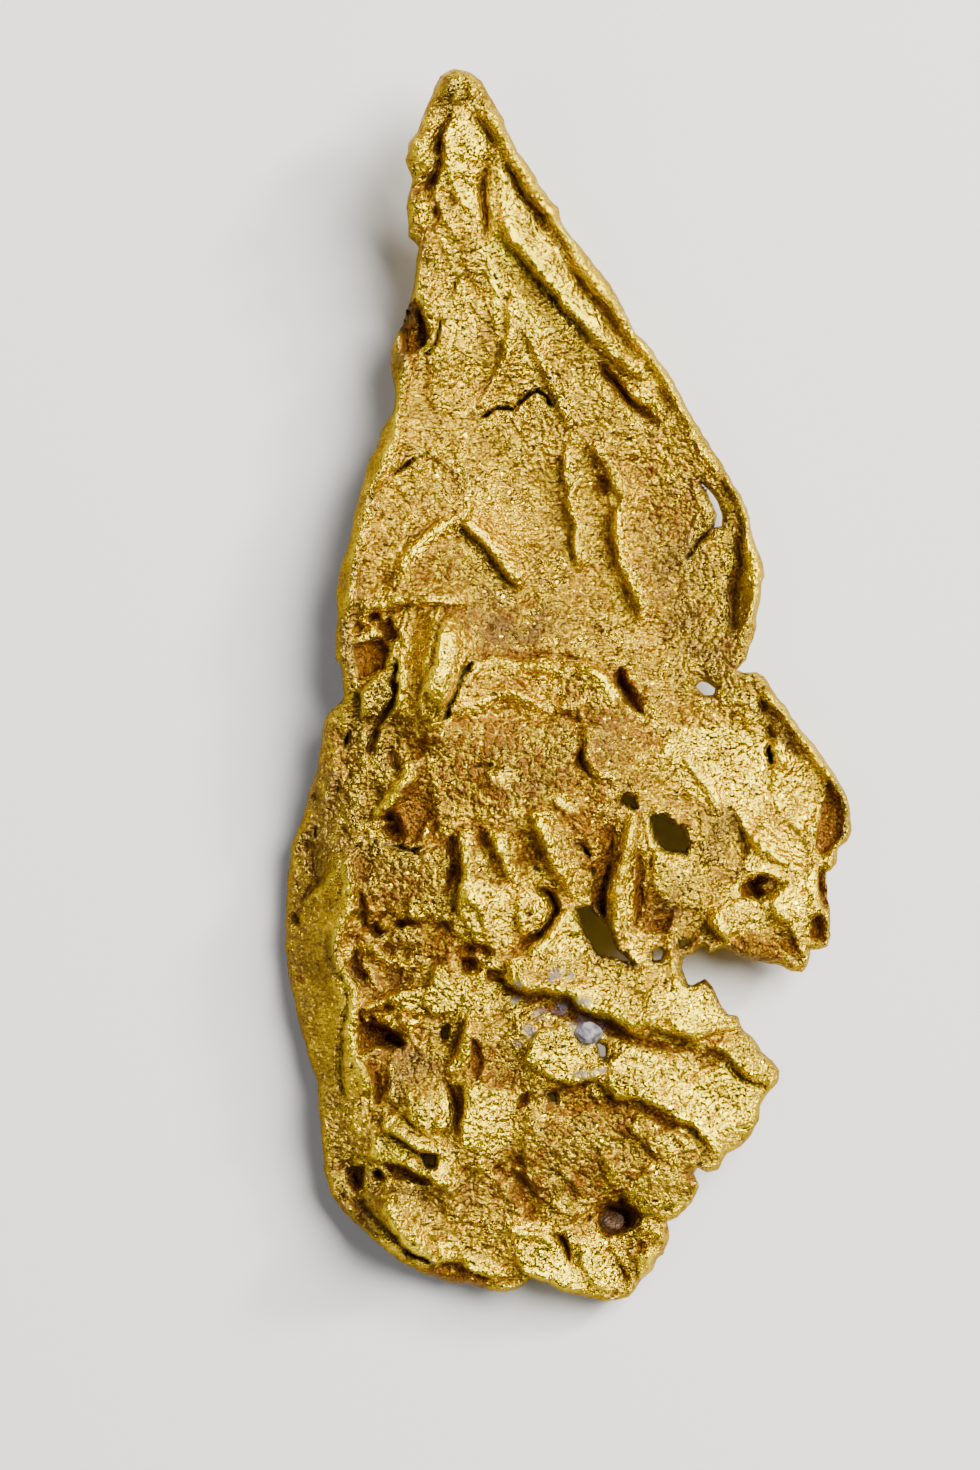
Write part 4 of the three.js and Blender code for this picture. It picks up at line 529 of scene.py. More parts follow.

# Plates of the crumpled leaf: each one's finish, and its corners with how far they stand over the sheet
# there. A plate is flat, so where a side stands high its edge is a cliff. Later plates lie on earlier ones.
# Bright plates are partly painted highlight, and dull and dark ones partly painted shade.
PLATES = [
    # the shaded left side of the tip
    ("dull_and_shade", [(-5.9, 22.8, -0.3), (-5.3, 24.2, -0.2), (-4.6, 24.7, 0), (-4.2, 23.7, 0.3), (-5, 22.6, 0.2)]),
    # the opening in the blade's left rim
    ("rust", [(-6.6, 15.2, -1.3), (-6.1, 15.3, -1.3), (-5.8, 14.6, -1.3), (-5.8, 13.7, -1.3),
        (-6.2, 13.2, -1.3), (-6.7, 13.4, -1.3), (-6.8, 14.3, -1.3)]),
    # the smooth panels between the blade's creases, and the rusty ones low on its face
    ("gold", [(-6.2, 21.9, 0), (-5.4, 22, 0.3), (-5.3, 20.9, 0.3), (-6.3, 20.4, 0)]),
    ("dark", [(-6.3, 19.9, -0.3), (-5.5, 20.4, -0.2), (-5.4, 20.1, -0.3), (-6.2, 19.5, -0.4)]),
    ("gold", [(-6.2, 19.4, 0), (-5.5, 19.8, 0.3), (-5.4, 18.6, 0.3), (-6.1, 18.1, 0)]),
    ("bright", [(-4.9, 22.4, 0.2), (-3.9, 23.1, 0), (-3.3, 21.5, 0), (-3.6, 20, 0), (-3.6, 18.5, 0.1),
        (-4.3, 19, 0.3), (-5, 20.5, 0.4)]),
    ("bright", [(-2.9, 20.8, 0.2), (-2, 19.6, 0), (-0.2, 17, 0), (1.3, 14.6, 0), (0.9, 13.9, 0.2),
        (-1.3, 16.3, 0.3), (-2.9, 18.6, 0.3)]),
    ("bright", [(-3.3, 17.2, 0.2), (-1.8, 15.6, 0.1), (-0.6, 14, 0), (-1, 12.6, 0), (-2.2, 12.2, 0.1),
        (-3, 14, 0.2)]),
    ("gold", [(-5.6, 13.6, 0.2), (-4.2, 13.9, 0), (-3.5, 12.6, 0), (-3.4, 11.6, 0), (-4.3, 10.6, 0.1),
        (-5.6, 11.2, 0.3)]),
    ("bright", [(-6.9, 4.9, 0.2), (-5.6, 6.4, 0.3), (-4.3, 7.1, 0.2), (-4.5, 6.5, 0), (-5.6, 5.6, 0),
        (-6.4, 4.4, 0)]),
    ("brown", [(-6.2, 4.4, 0), (-5.2, 5.6, 0.1), (-4.4, 6.1, 0.1), (-3.2, 4.6, 0), (-3.6, 3.7, -0.1),
        (-5.4, 3.6, -0.1)]),
    ("brown", [(3, 8.6, 0), (4.6, 8.3, 0), (5.3, 7, -0.1), (4.4, 5.6, -0.1), (3, 6.2, 0)]),
    # the waist: the arched sheets that overlap the blade's foot, and the blocks left of the horn
    ("gold", [(-4, 0.8, 0.5), (-3.1, 1.3, 0.6), (-2.2, 1.1, 0.6), (-1.2, 1.2, 0.6), (0, 1.1, 0.6),
        (1, 0.8, 0.6), (1.6, 0.2, 0.6), (2.1, -0.7, 0.5), (1.5, -0.9, 0.2), (0, -1, 0.2),
        (-1.2, -0.8, 0.2), (-2.2, -0.25, 0.3), (-4.3, -0.7, 0.2)]),
    ("bright", [(-4.3, -0.65, 0.3), (-2.8, -0.3, 0.5), (-2.2, -0.15, 0.5), (-1.2, -0.7, 0.5),
        (-0.6, -1.2, 0.2), (-2, -1.4, 0), (-4.6, -1.2, 0)]),
    ("bright", [(-0.8, 1.15, 0.6), (0.3, 1.05, 0.6), (1.1, 0.7, 0.6), (1.7, 0, 0.6), (1.9, -0.6, 0.5),
        (1.4, -0.2, 0.2), (0.6, 0.4, 0.2), (-0.6, 0.7, 0.2)]),
    ("rust", [(-8.6, 1.7, -0.6), (-7.6, 1.8, -0.7), (-7.2, 1.3, -0.8), (-7.4, 0.6, -0.6),
        (-8.4, 0.3, -0.7), (-8.5, 0.9, -0.8)]),
    ("gold", [(-8.8, 2.8, 0.1), (-6.8, 3, -0.1), (-6.8, 1.9, -0.2), (-8.7, 1.8, 0)]),
    ("dull_and_shade", [(-7.5, 0.6, 0.4), (-7.1, -0.3, 0.3), (-7.6, -1.3, 0.4), (-8.4, -1.4, 0.6),
        (-8.3, -0.2, 0.6)]),
    ("bright", [(-6.9, 0.8, 0.5), (-6.3, 1.9, 0.2), (-6, 1.6, 0), (-6.5, 0.2, 0), (-6.6, -0.9, 0),
        (-7, -1, 0.4)]),
    ("brown", [(-9.6, -1.1, 0.1), (-8.9, -1.1, 0.3), (-8.8, -2, 0.3), (-9.1, -3.4, 0.3), (-9.9, -3.6, 0),
        (-9.9, -2.2, 0)]),
    ("dull_and_shade", [(-8.7, -1.3, 0.1), (-8.1, -1.7, 0.3), (-8.1, -3.2, 0.3), (-8.9, -4.6, 0.1), (-9, -3.4, 0),
        (-8.8, -2.4, 0)]),
    ("gold", [(-6.2, 3, -0.3), (-5.1, 3, 0.7), (-5.6, 1, 0.6), (-5.9, 0.2, 0.5), (-6.4, -0.3, -0.1),
        (-6.6, 0.9, -0.2), (-6.3, 2.2, -0.3)]),
    ("bright", [(-5, 2.6, 0.9), (-4.5, 2.8, 0.7), (-4.55, 2, 0.7), (-4.9, 1, 0.7), (-5.1, -0.2, 0.7),
        (-5.2, -0.9, 0.7), (-5.9, -0.2, 1), (-5.7, 0.3, 1), (-5.4, 0.9, 0.9)]),
    ("gold", [(-4.5, 2.6, 0.5), (-3.9, 1.8, 0.2), (-3.7, 1.1, 0.1), (-4.4, 0.3, 0.2), (-4.8, -0.6, 0.4),
        (-5.1, -0.9, 0.5), (-4.9, 0.9, 0.5)]),
    # the middle: the rusty hollows, the panel under the slit, and the steps beside it
    ("brown", [(-5.2, -1.6, 0.1), (-3.5, -1.3, 0.1), (-1.5, -1.5, 0.2), (0.2, -1.6, 0.4), (0.3, -2.6, 0.4),
        (0.2, -4, 0.3), (-1, -4.6, 0.2), (-3, -5, 0), (-5, -4.8, -0.1), (-5.3, -3, 0)]),
    ("rust", [(-5.9, -1.9, -0.2), (-5.3, -1.7, -0.1), (-5.35, -2.4, -0.2), (-6.1, -3, -0.4),
        (-6.1, -2.3, -0.4)]),
    ("brown", [(-6.2, -3, 0), (-5.6, -3, -0.1), (-5.4, -4.4, -0.3), (-5.7, -5.5, -0.3), (-6.3, -6.3, -0.4),
        (-7.4, -6.3, -0.3), (-7.8, -5.5, -0.2), (-7, -4.9, -0.1), (-6.5, -3.9, 0)]),
    ("rust", [(-7.4, -5, -0.5), (-6.85, -5.2, -0.5), (-6.8, -5.9, -0.6), (-7.3, -6.1, -0.5)]),
    ("bright", [(-6.6, -3, 0.3), (-6.25, -3.2, 0.5), (-6.9, -4.4, 0.5), (-7.7, -5.4, 0.5),
        (-7.9, -5.1, 0.3), (-7.4, -4.2, 0.3), (-7, -3.7, 0.3)]),
    ("brown", [(-7.8, -6.7, 0.1), (-6.1, -6.7, 0.3), (-5, -6.2, 0.5), (-4.8, -7, 0.5), (-5, -8, 0.5),
        (-4.7, -9, 0.4), (-5.2, -9.4, 0.3), (-6.6, -9.5, 0.2), (-7.3, -8.8, 0.1), (-8, -7.7, 0)]),
    ("gold", [(-6.5, -8.4, 0.5), (-4.9, -8.2, 0.2), (-4.6, -9.2, 0.1), (-5.2, -9.5, 0.2),
        (-6.4, -9.4, 0.5)]),
    ("gold", [(-4.4, -5.8, 0.7), (-3.7, -5.8, 0.4), (-3.4, -6.6, 0.2), (-3.1, -7.4, 0.1), (-3.2, -8, 0.1),
        (-4.2, -7.7, 0.7)]),
    ("bright", [(-4.35, -7.6, 0.8), (-3.3, -7.9, 0.3), (-2.4, -8.7, 0), (-2.2, -9.6, 0), (-2.1, -10.3, 0),
        (-2.9, -10.6, 0.2), (-3.9, -10.2, 0.5), (-4.4, -9.2, 0.6)]),
    ("bright", [(-5.1, -9.2, 0.5), (-4.3, -9, 0.4), (-4, -10.3, 0.2), (-4.7, -10.1, 0.4)]),
    ("gold", [(-3.3, -5.7, 0.6), (-2.4, -5.7, 0.2), (-1.9, -6.6, 0), (-1.4, -7.6, 0), (-2, -8, 0.1),
        (-2.6, -7.8, 0.5), (-2.8, -7, 0.6)]),
    ("gold", [(-1.7, -5, 0.7), (-0.9, -4.9, 0.2), (0.1, -6.1, 0), (0.4, -7.4, 0), (0.3, -8.6, 0),
        (-0.1, -8.3, 0.6), (-0.55, -7.3, 0.7), (-1.1, -6.2, 0.7)]),
    ("bright", [(-2, -8.2, 0.5), (-1, -8.2, 0.2), (-0.5, -8.8, 0), (-0.9, -9.4, 0), (-1.5, -9.9, 0.1),
        (-2, -10.1, 0.4)]),
    ("bright", [(0, -8.9, 0.6), (0.5, -9.8, 0.2), (0.85, -10.8, 0), (-0.2, -11, 0.1), (-1.6, -10.9, 0.3),
        (-1.6, -10.6, 0.6), (-1.2, -10.1, 0.8), (-0.6, -9.3, 0.8)]),
    ("gold", [(-1.6, -10.9, 0.4), (0.8, -10.9, 0), (0.6, -11.8, 0), (-0.8, -12, 0.1), (-2.6, -11.5, 0.4),
        (-2.6, -10.9, 0.5)]),
    ("bright", [(-3.4, -3.3, 0.4), (-2.2, -3.5, 0.1), (-2.4, -4.2, 0.1), (-3.3, -4, 0.4)]),
    ("bright", [(-1, -4.3, 0.4), (-0.2, -4.2, 0.1), (0.3, -4.8, 0), (-0.1, -5, 0.3), (-0.7, -4.6, 0.4)]),
    ("brown", [(0.5, -2, 0.5), (0.3, -1, 0.3), (1.6, -0.9, 0.1), (2.5, -1, 0), (3.4, -1.8, -0.1),
        (2.8, -3.4, -0.1), (1.9, -4, 0.1), (1.2, -3.6, 0.4), (0.7, -2.8, 0.5)]),
    ("dark", [(2, 0.9, -0.3), (2.2, 0.2, -0.4), (2.4, -0.6, -0.3), (3, -1.1, -0.3), (3.4, -1.5, -0.2),
        (2.6, -1, -0.4), (2, -0.4, -0.5), (1.8, 0.3, -0.4)]),
    ("rust", [(1.9, -5.2, -0.2), (1.7, -6.6, -0.5), (1.5, -7.8, -0.7), (1.5, -9.2, -0.7),
        (0.9, -8.6, -0.3), (0.9, -7, -0.1), (1.3, -5.6, 0)]),
    ("bright", [(2.3, -4.7, 0.1), (3, -5.2, -0.1), (3.2, -7.4, -0.1), (3, -9.4, -0.1), (3, -11.2, 0),
        (2.4, -11, 0.1), (2.1, -9.6, 0.4), (2.1, -7.6, 0.5), (2.3, -6.2, 0.4)]),
    ("rust", [(2.6, -6, -0.1), (2.75, -7.2, -0.2), (2.95, -8.3, -0.2), (2.75, -9.6, -0.1), (2.5, -9, 0),
        (2.5, -7.2, 0.1)]),
    ("bright", [(3, -5.1, 0.3), (3.5, -5.4, 0), (3.5, -6.6, 0), (3.1, -6.6, 0.3)]),
    ("rust", [(-6.1, -10.2, 0.1), (-5.1, -9.7, 0.2), (-4.2, -10.2, 0), (-4, -11, 0), (-5.3, -11.1, 0.2)]),
    ("bright", [(-5.5, -11.2, 0.5), (-4.5, -11.2, 0.2), (-4, -12.2, 0), (-4.3, -13, 0), (-5.6, -13.2, 0.4),
        (-6.2, -12.4, 0.6), (-5.6, -12, 0.6)]),
    ("dark", [(-3.4, -11.3, -0.4), (-2.7, -11.5, -0.4), (-2.6, -11.9, -0.4), (-3.3, -11.9, -0.5)]),
    # the wing: its bright face, partly painted highlight, the olive trough inside its rim, painted as
    # shade, and the folds and plates of its foot
    ("bright", [(4.1, -1.5, 0.2), (5, -1.7, 0.1), (7.4, -1.4, 0), (7.9, -2.3, 0), (8, -4.5, 0),
        (7.2, -5, 0), (5.5, -4.8, 0.1), (4.7, -4.4, 0.2), (4.3, -3.4, 0.2), (3.5, -2.9, 0.2),
        (3.8, -2.1, 0.2)]),
    ("dull_and_shade", [(7.6, -0.3, -0.2), (8.5, -1, -0.1), (9.7, -2.3, 0), (10.1, -2.9, 0), (9.1, -3, -0.1),
        (8.1, -2, -0.4), (7.8, -1, -0.4)]),
    ("bright", [(8, -2.3, 0.3), (9, -3.2, 0.1), (10.1, -3.3, 0), (10.1, -5, -0.1), (9.4, -5.9, -0.1),
        (8.4, -5.3, 0.1), (8.1, -4.4, 0.3)]),
    ("dark", [(10.3, -3.8, -0.3), (10.8, -4.2, -0.3), (11.1, -5.2, -0.4), (11, -6.1, -0.6),
        (10.2, -6.9, -0.8), (9.9, -6.5, -0.6), (10.2, -5, -0.4)]),
    ("dull_and_shade", [(5, -5, 0.1), (6.8, -4.9, -0.1), (7, -6, -0.1), (7, -7.8, -0.1), (6, -7.9, 0.1),
        (5.2, -6.6, 0.2)]),
    ("bright", [(6.6, -4.9, 0.2), (7.6, -5.2, 0), (9.5, -6.4, 0), (9.2, -7.6, 0.3), (8.2, -6.9, 0.4),
        (7.2, -6.1, 0.4)]),
    ("bright", [(7.2, -6.3, 0.2), (7.9, -6.9, 0.2), (8.6, -7.4, 0.1), (9.3, -7.9, 0), (9.1, -8.1, 0.1),
        (8.3, -7.9, 0.2), (7.7, -7.5, 0.2), (7.1, -7.8, 0.3), (6.9, -7, 0.3)]),
    ("dull_and_shade", [(7.15, -7.9, -0.4), (7.7, -7.6, -0.5), (8.7, -8, -0.3), (8.2, -8.3, -0.4),
        (7.4, -8.6, -0.4)]),
    ("bright", [(8, -8.5, 0.5), (8.4, -8.3, 0.4), (9.2, -8.2, 0.1), (9.6, -9, 0), (9.4, -9.7, 0.1),
        (8.8, -9.5, 0.4), (8.2, -9.2, 0.6)]),
    ("gold", [(8.9, -9.5, 0.5), (9.5, -9.5, 0.1), (9.7, -11, 0), (9.3, -11.3, 0.4)]),
    ("rust", [(9.6, -9.2, -0.4), (10.1, -9.2, -0.3), (10.2, -10.2, -0.4), (9.7, -10.2, -0.5)]),
    ("dull_and_shade", [(9.9, -7.2, -0.3), (10.3, -7.2, -0.2), (10.4, -9, -0.3), (10, -9, -0.5)]),
    ("gold", [(5.5, -9.1, 0.5), (6.2, -8.8, 0.3), (7.2, -8.5, 0.1), (7.5, -9, 0), (7, -9.8, 0.1),
        (6.3, -10.2, 0.3), (5.7, -9.8, 0.5)]),
    ("gold", [(3.3, -6.6, 0.5), (4.2, -6.6, 0.3), (5.2, -7, 0.1), (5.9, -8.1, 0), (5, -8.9, 0.2),
        (3.9, -8.7, 0.5), (3.2, -7.9, 0.6)]),
    ("rust", [(3.4, -9, -0.3), (4.1, -9, -0.4), (4, -9.9, -0.4), (3.4, -9.8, -0.3)]),
    ("rust", [(6.9, -10, 0.3), (7.8, -9.8, 0.1), (8.9, -10, 0), (9.2, -11.2, 0), (8.2, -11, 0.3),
        (7.2, -10.9, 0.5)]),
    # beside the left band: its dark wedge and the cavity, both painted with shade, the bowl, the sail and
    # the prism
    ("dull_and_shade", [(-10.6, -6.2, -0.4), (-9.6, -6.4, 0.1), (-9.3, -7.4, 0.2), (-9.4, -8.8, 0.2),
        (-9.9, -8.4, -0.1), (-10.4, -7.4, -0.4)]),
    ("brown", [(-8.8, -6.9, -0.3), (-8.2, -6.7, -0.2), (-7.9, -7.2, -0.2), (-8.1, -7.9, -0.3),
        (-8.7, -7.9, -0.4)]),
    ("dull_and_shade", [(-8.5, -10.2, -0.3), (-6.9, -9.6, 0.1), (-6, -9.7, 0.3), (-5.8, -10.4, 0.2),
        (-5.6, -11.1, 0), (-5.6, -12, -0.2), (-6.6, -12.1, -0.3), (-8, -12.6, -0.5), (-8.6, -12.2, -0.5),
        (-8.9, -11.2, -0.4)]),
    ("bright", [(-8.2, -12.9, 0.7), (-7.2, -12.5, 0.6), (-5.9, -12, 0.4), (-5.9, -13, 0.3),
        (-6.4, -13.9, 0.4), (-7.2, -13.6, 0.6), (-7.9, -13.1, 0.7)]),
    ("dark", [(-8.4, -12.9, -0.9), (-8.2, -13.4, -0.9), (-7.4, -13.6, -0.9), (-6.5, -14.2, -0.8),
        (-7.2, -14.5, -0.9), (-7.9, -14.3, -1.1), (-8.4, -14.8, -1), (-8.5, -13.8, -1)]),
    ("dark", [(-8.1, -14.8, -0.2), (-7.2, -14.5, 0), (-6.9, -15.2, -0.1), (-7.4, -16, -0.2),
        (-7.9, -17, -0.3), (-8, -16, -0.3)]),
    ("dull_and_shade", [(-7.1, -14.9, 0.1), (-6.6, -14.9, 0.1), (-5.8, -15, 0.1), (-5.1, -15.7, 0.1),
        (-4.9, -16.8, 0.1), (-4.8, -17.6, 0.2), (-5.9, -17.7, 0.4), (-6.6, -17.3, 0.4),
        (-7.4, -16.5, 0.4)]),
    ("bright", [(-6.6, -16.1, 0.6), (-5, -16.2, 0.2), (-4.8, -17.7, 0.2), (-5.9, -17.8, 0.6),
        (-6.5, -17.3, 0.7)]),
    ("brown", [(-4.1, -13.4, 0.6), (-3.9, -13.6, 0.5), (-3.9, -14.6, 0.2), (-4.1, -15.4, 0.1),
        (-4.9, -15.4, 0.5), (-4.5, -14.6, 0.6)]),
    ("rust", [(-3.9, -14.1, -0.4), (-3.5, -14.5, -0.3), (-3.45, -15.2, -0.3), (-3.7, -15.7, -0.4),
        (-3.9, -15.4, -0.4)]),
    ("dark", [(-4.8, -15.9, -0.2), (-4.3, -15.9, -0.3), (-4.3, -17, -0.4), (-4.5, -17.7, -0.3),
        (-4.75, -16.8, -0.2)]),
    ("bright", [(-4.25, -15.8, 0.6), (-3.6, -15.9, 0.3), (-2.5, -16.2, 0), (-2.3, -17, 0), (-2, -18, 0),
        (-3.4, -18.6, 0), (-4.4, -18.3, 0.5), (-4.3, -17, 0.7)]),
    ("brown", [(-3.4, -14.6, 0), (-2.2, -14.4, 0), (-2, -15.6, -0.1), (-2.4, -16.1, -0.2),
        (-3.3, -15.9, 0)]),
    # the foot's left side: the slit between two plates, the groove under it, painted dark as shade, and the
    # plates over the rim
    ("brown", [(-9.4, -17.2, 0.1), (-8.1, -17, 0.2), (-7.9, -18.3, 0.2), (-8.3, -18.8, 0.1),
        (-9.4, -18.5, 0)]),
    ("gold", [(-7.5, -17, 0.2), (-6.3, -17.6, 0.3), (-5.4, -18.3, 0.4), (-5.4, -19.1, 0.5),
        (-5.9, -18.7, 0.6), (-6.6, -18.25, 0.6), (-7.35, -17.85, 0.6)]),
    ("bright", [(-7.9, -18.1, 0.5), (-7.3, -18.1, 0.3), (-6.6, -18.5, 0.1), (-5.95, -19.1, 0),
        (-6.2, -19.2, 0.2), (-7.4, -19.1, 0.5), (-8, -18.8, 0.6)]),
    ("bright", [(-5.4, -18, 0.3), (-4.6, -18.7, 0), (-4.6, -19.9, 0.1), (-5.3, -19.9, 0.5),
        (-5.9, -19.4, 0.6), (-5.4, -19.1, 0.5)]),
    ("dark", [(-7.3, -19.2, -0.4), (-6.5, -19.2, -0.3), (-5.6, -19.6, -0.3), (-5.3, -19.95, -0.3),
        (-6.2, -19.8, -0.4), (-7.1, -19.6, -0.5)]),
    ("rust", [(-8.9, -19.3, -0.5), (-8.3, -19.2, -0.5), (-8.3, -19.9, -0.6), (-8.6, -20.3, -0.5),
        (-9, -19.9, -0.5)]),
    ("dull_and_shade", [(-8.9, -20.5, -0.2), (-8.1, -20.1, 0.2), (-7.6, -20.3, 0.4), (-7.3, -21.2, 0.4),
        (-6.9, -21.9, 0.3), (-7.6, -22.1, -0.1), (-8.5, -21.4, -0.3)]),
    ("gold", [(-7.6, -20.2, 0.3), (-6.2, -20.3, 0.1), (-5.6, -21.5, 0), (-5.4, -22.2, 0),
        (-5.6, -22.9, 0.2), (-6.4, -22.5, 0.3), (-6.9, -21.8, 0.4), (-7.3, -21, 0.4)]),
    ("bright", [(-6.3, -21.6, 0.5), (-5.5, -21.7, 0.1), (-5.3, -22.5, 0.1), (-5.7, -22.9, 0.5),
        (-6.3, -22.5, 0.7)]),
    ("brown", [(-5, -20.2, 0.2), (-3.4, -19.5, 0.1), (-1.4, -19.6, 0), (-0.9, -20.6, 0), (-2, -21.3, 0.1),
        (-3.6, -21.6, 0.2), (-4.9, -21.4, 0.3)]),
    ("bright", [(-5.3, -22.3, 0.4), (-4.3, -22.3, 0.1), (-3.9, -23, 0.2), (-5.3, -23.1, 0.6)]),
    ("bright", [(-4.4, -22.9, 0.5), (-3.2, -22.9, 0.1), (-2.3, -23.5, 0.1), (-3, -23.8, 0.4),
        (-4.3, -23.4, 0.6)]),
    ("dark", [(-5, -23.4, 0.1), (-4.6, -23.2, 0.1), (-4.1, -23.5, 0), (-4.5, -23.7, 0)]),
    ("rust", [(-4.1, -23.7, 0.1), (-3.3, -23.8, 0.1), (-2.9, -24.2, 0), (-3.9, -24.1, 0)]),
    # the foot's middle and right side
    ("brown", [(-1.9, -17.9, 0.2), (0.3, -17.2, 0.1), (1.1, -16.3, 0), (2.4, -16.7, 0), (3.2, -17.2, 0),
        (4.6, -17.8, -0.1), (5.3, -19, -0.2), (4.9, -20.2, -0.2), (2.9, -20.9, 0.1), (1.7, -20.1, 0.2),
        (1, -20.9, 0.3), (0, -21.5, 0.4), (-1.8, -20, 0.5)]),
    ("gold", [(2.6, -17.1, 0.3), (4.5, -18, 0.1), (5.2, -19.2, 0), (4.4, -19.5, 0.1), (3.2, -18.6, 0.3),
        (2.4, -17.8, 0.4)]),
    ("bright", [(-2.6, -21.3, 0.3), (-1, -21.5, 0.1), (-0.3, -22.6, 0), (0.1, -23.3, 0), (0.7, -24.3, 0.1),
        (-0.6, -24.1, 0.3), (-2, -23.4, 0.4), (-2.3, -22.5, 0.4)]),
    ("brown", [(-0.85, -22, -0.4), (-0.35, -22.1, -0.4), (0.1, -23.2, -0.3), (-0.2, -22.9, -0.4)]),
    ("bright", [(0.3, -22.3, 0.4), (1.8, -22.4, 0.1), (2.3, -23.3, 0), (2.2, -24, 0), (1.2, -24.3, 0.3),
        (0.7, -23.8, 0.4)]),
    ("dark", [(-2.2, -16.9, -0.5), (-2.1, -16.5, -0.6), (-1.7, -16.2, -0.4), (-1.7, -16.7, -0.3)]),
    ("bright", [(1.3, -18.6, 0.4), (1.9, -19, 0.1), (2.1, -20, 0.1), (1.6, -19.9, 0.4), (1.4, -19.2, 0.4)]),
    ("gold", [(2.2, -20.2, 0.5), (3.2, -19, 0.3), (4.9, -19.7, 0), (5.1, -20.2, 0), (4.2, -21.2, 0),
        (2.9, -21.2, 0.5)]),
    ("bright", [(3.3, -18.1, 0.4), (3.8, -17.9, 0.2), (4.3, -18.5, 0), (4, -18.6, 0.3)]),
    ("bright", [(4.1, -17.8, 0.4), (4.7, -18, 0.1), (5, -18.6, 0), (4.6, -18.6, 0.3)]),
    ("dark", [(1.1, -21, -0.3), (1.75, -20.7, -0.4), (2.1, -20.6, -0.5), (2.6, -21.1, -0.5),
        (2.3, -22, -0.4), (1.3, -22.1, -0.3)]),
    ("gold", [(2.6, -21.4, 0.4), (3.4, -21.2, 0.1), (4, -22, 0), (3.4, -22.9, 0.2), (2.6, -22.9, 0.5)]),
    ("rust", [(2.6, -22.2, 0.1), (3.1, -22.3, 0), (3.1, -22.8, 0), (2.6, -22.8, 0.1)]),
    ("bright", [(2.7, -22.8, 0.5), (3.5, -22.8, 0.2), (3.4, -23.6, 0.1), (2.8, -23.7, 0.4)]),
    # the lobe, and the step that runs along its root with the rusty trough below it
    ("bright", [(-2.9, -11.7, 0.3), (-2.1, -12.15, 0.4), (-0.9, -12.2, 0.4), (0.1, -12.4, 0.4),
        (0.5, -13, 0.4), (1.5, -13.1, 0.4), (2.6, -13.8, 0.4), (2.9, -13.4, 0.4), (3, -12.6, 0.2),
        (1.5, -11.8, 0.1), (0.6, -11.9, 0.1), (-1.4, -11.9, 0.3), (-2.5, -11.4, 0.4)]),
    ("brown", [(-2, -12.5, -0.2), (-0.9, -12.5, -0.2), (0.1, -12.8, -0.2), (0.5, -13.4, -0.2),
        (1.4, -13.4, -0.2), (2.1, -13.7, -0.2), (2.7, -14, -0.2), (3.6, -14.2, -0.2), (5, -14.4, -0.2),
        (5.2, -14.8, -0.3), (3.5, -14.6, -0.3), (2.3, -14.3, -0.3), (1.3, -13.8, -0.4), (0.2, -13.5, -0.4),
        (-1, -13.1, -0.4)]),
    ("bright", [(-1.2, -13.8, 0.5), (0, -13.6, 0.3), (1.4, -13.9, 0), (1.5, -15, 0), (0.4, -15.1, 0.3),
        (-0.5, -15.3, 0.4), (-1.9, -15.1, 0.6)]),
    ("gold", [(-1.6, -15.2, 0.4), (-0.3, -15.2, 0.3), (1.5, -15.1, 0.2), (1.1, -15.5, 0.4),
        (0.1, -15.9, 0.6), (-1, -15.6, 0.6)]),
    ("bright", [(2.9, -13.5, 0.4), (3.8, -13.2, 0.4), (4.1, -13.8, 0.5), (5, -14.1, 0.4),
        (5.9, -13.8, 0.4), (6.9, -13.8, 0.2), (6.2, -12.8, 0), (5.2, -11.9, 0), (3.6, -11.4, 0.1),
        (2.9, -12.4, 0.3)]),
    ("bright", [(2.2, -14.4, 0.3), (3.4, -14.9, 0.2), (5.9, -15.4, 0.1), (4.4, -16.1, 0.1),
        (4.2, -17.1, 0.2), (3, -16.8, 0.3), (2.5, -16.4, 0.4), (1.7, -16.4, 0.4), (1.4, -15.6, 0.4),
        (1.6, -14.9, 0.4)]),
    ("bright", [(4.4, -16.2, 0.3), (6, -15.3, 0.1), (7, -15.9, 0), (8, -16.1, 0), (7.5, -17.5, 0),
        (6.3, -18.7, 0.1), (5.6, -18.7, 0.2), (4.9, -17.5, 0.3), (4.2, -17.2, 0.3)]),
    ("gold", [(5.6, -14.4, 0.6), (6.9, -13.8, 0.3), (7.6, -14.7, 0.2), (8.4, -15.4, 0.1),
        (8.1, -15.9, 0.3), (7.3, -15.8, 0.5), (6.6, -15.3, 0.7), (6.1, -14.7, 0.7)]),
    ("rust", [(5, -14.7, 0), (5.8, -14.5, 0), (6.1, -15, 0), (5.2, -15.4, 0)]),
    ("gold", [(5.9, -17.6, 0.3), (7.2, -17.3, 0.2), (6.6, -18.6, 0), (5.8, -18.8, 0.1)]),
    ("rust", [(-0.9, -16, -0.1), (0.6, -15.9, -0.1), (1.1, -16.6, -0.1), (0.2, -17.2, -0.1),
        (-1, -17, -0.1)]),
]

# What the finishes of the plates are made of: iron stain, rubbed gold that is partly painted highlight,
# dull film that is partly painted shade, and dirt that is partly painted shade.
PLATE_FINISH = {
    "gold": (0.15, 0.25, 0.0, 0.0),
    "bright": (0.0, 0.95, 0.0, 0.0),
    "brown": (0.7, 0.0, 0.2, 0.0),
    "rust": (0.85, 0.0, 0.0, 0.1),
    "dull_and_shade": (0.15, 0.0, 0.8, 0.0),
    "dark": (0.9, 0.0, 0.2, 0.6),
}
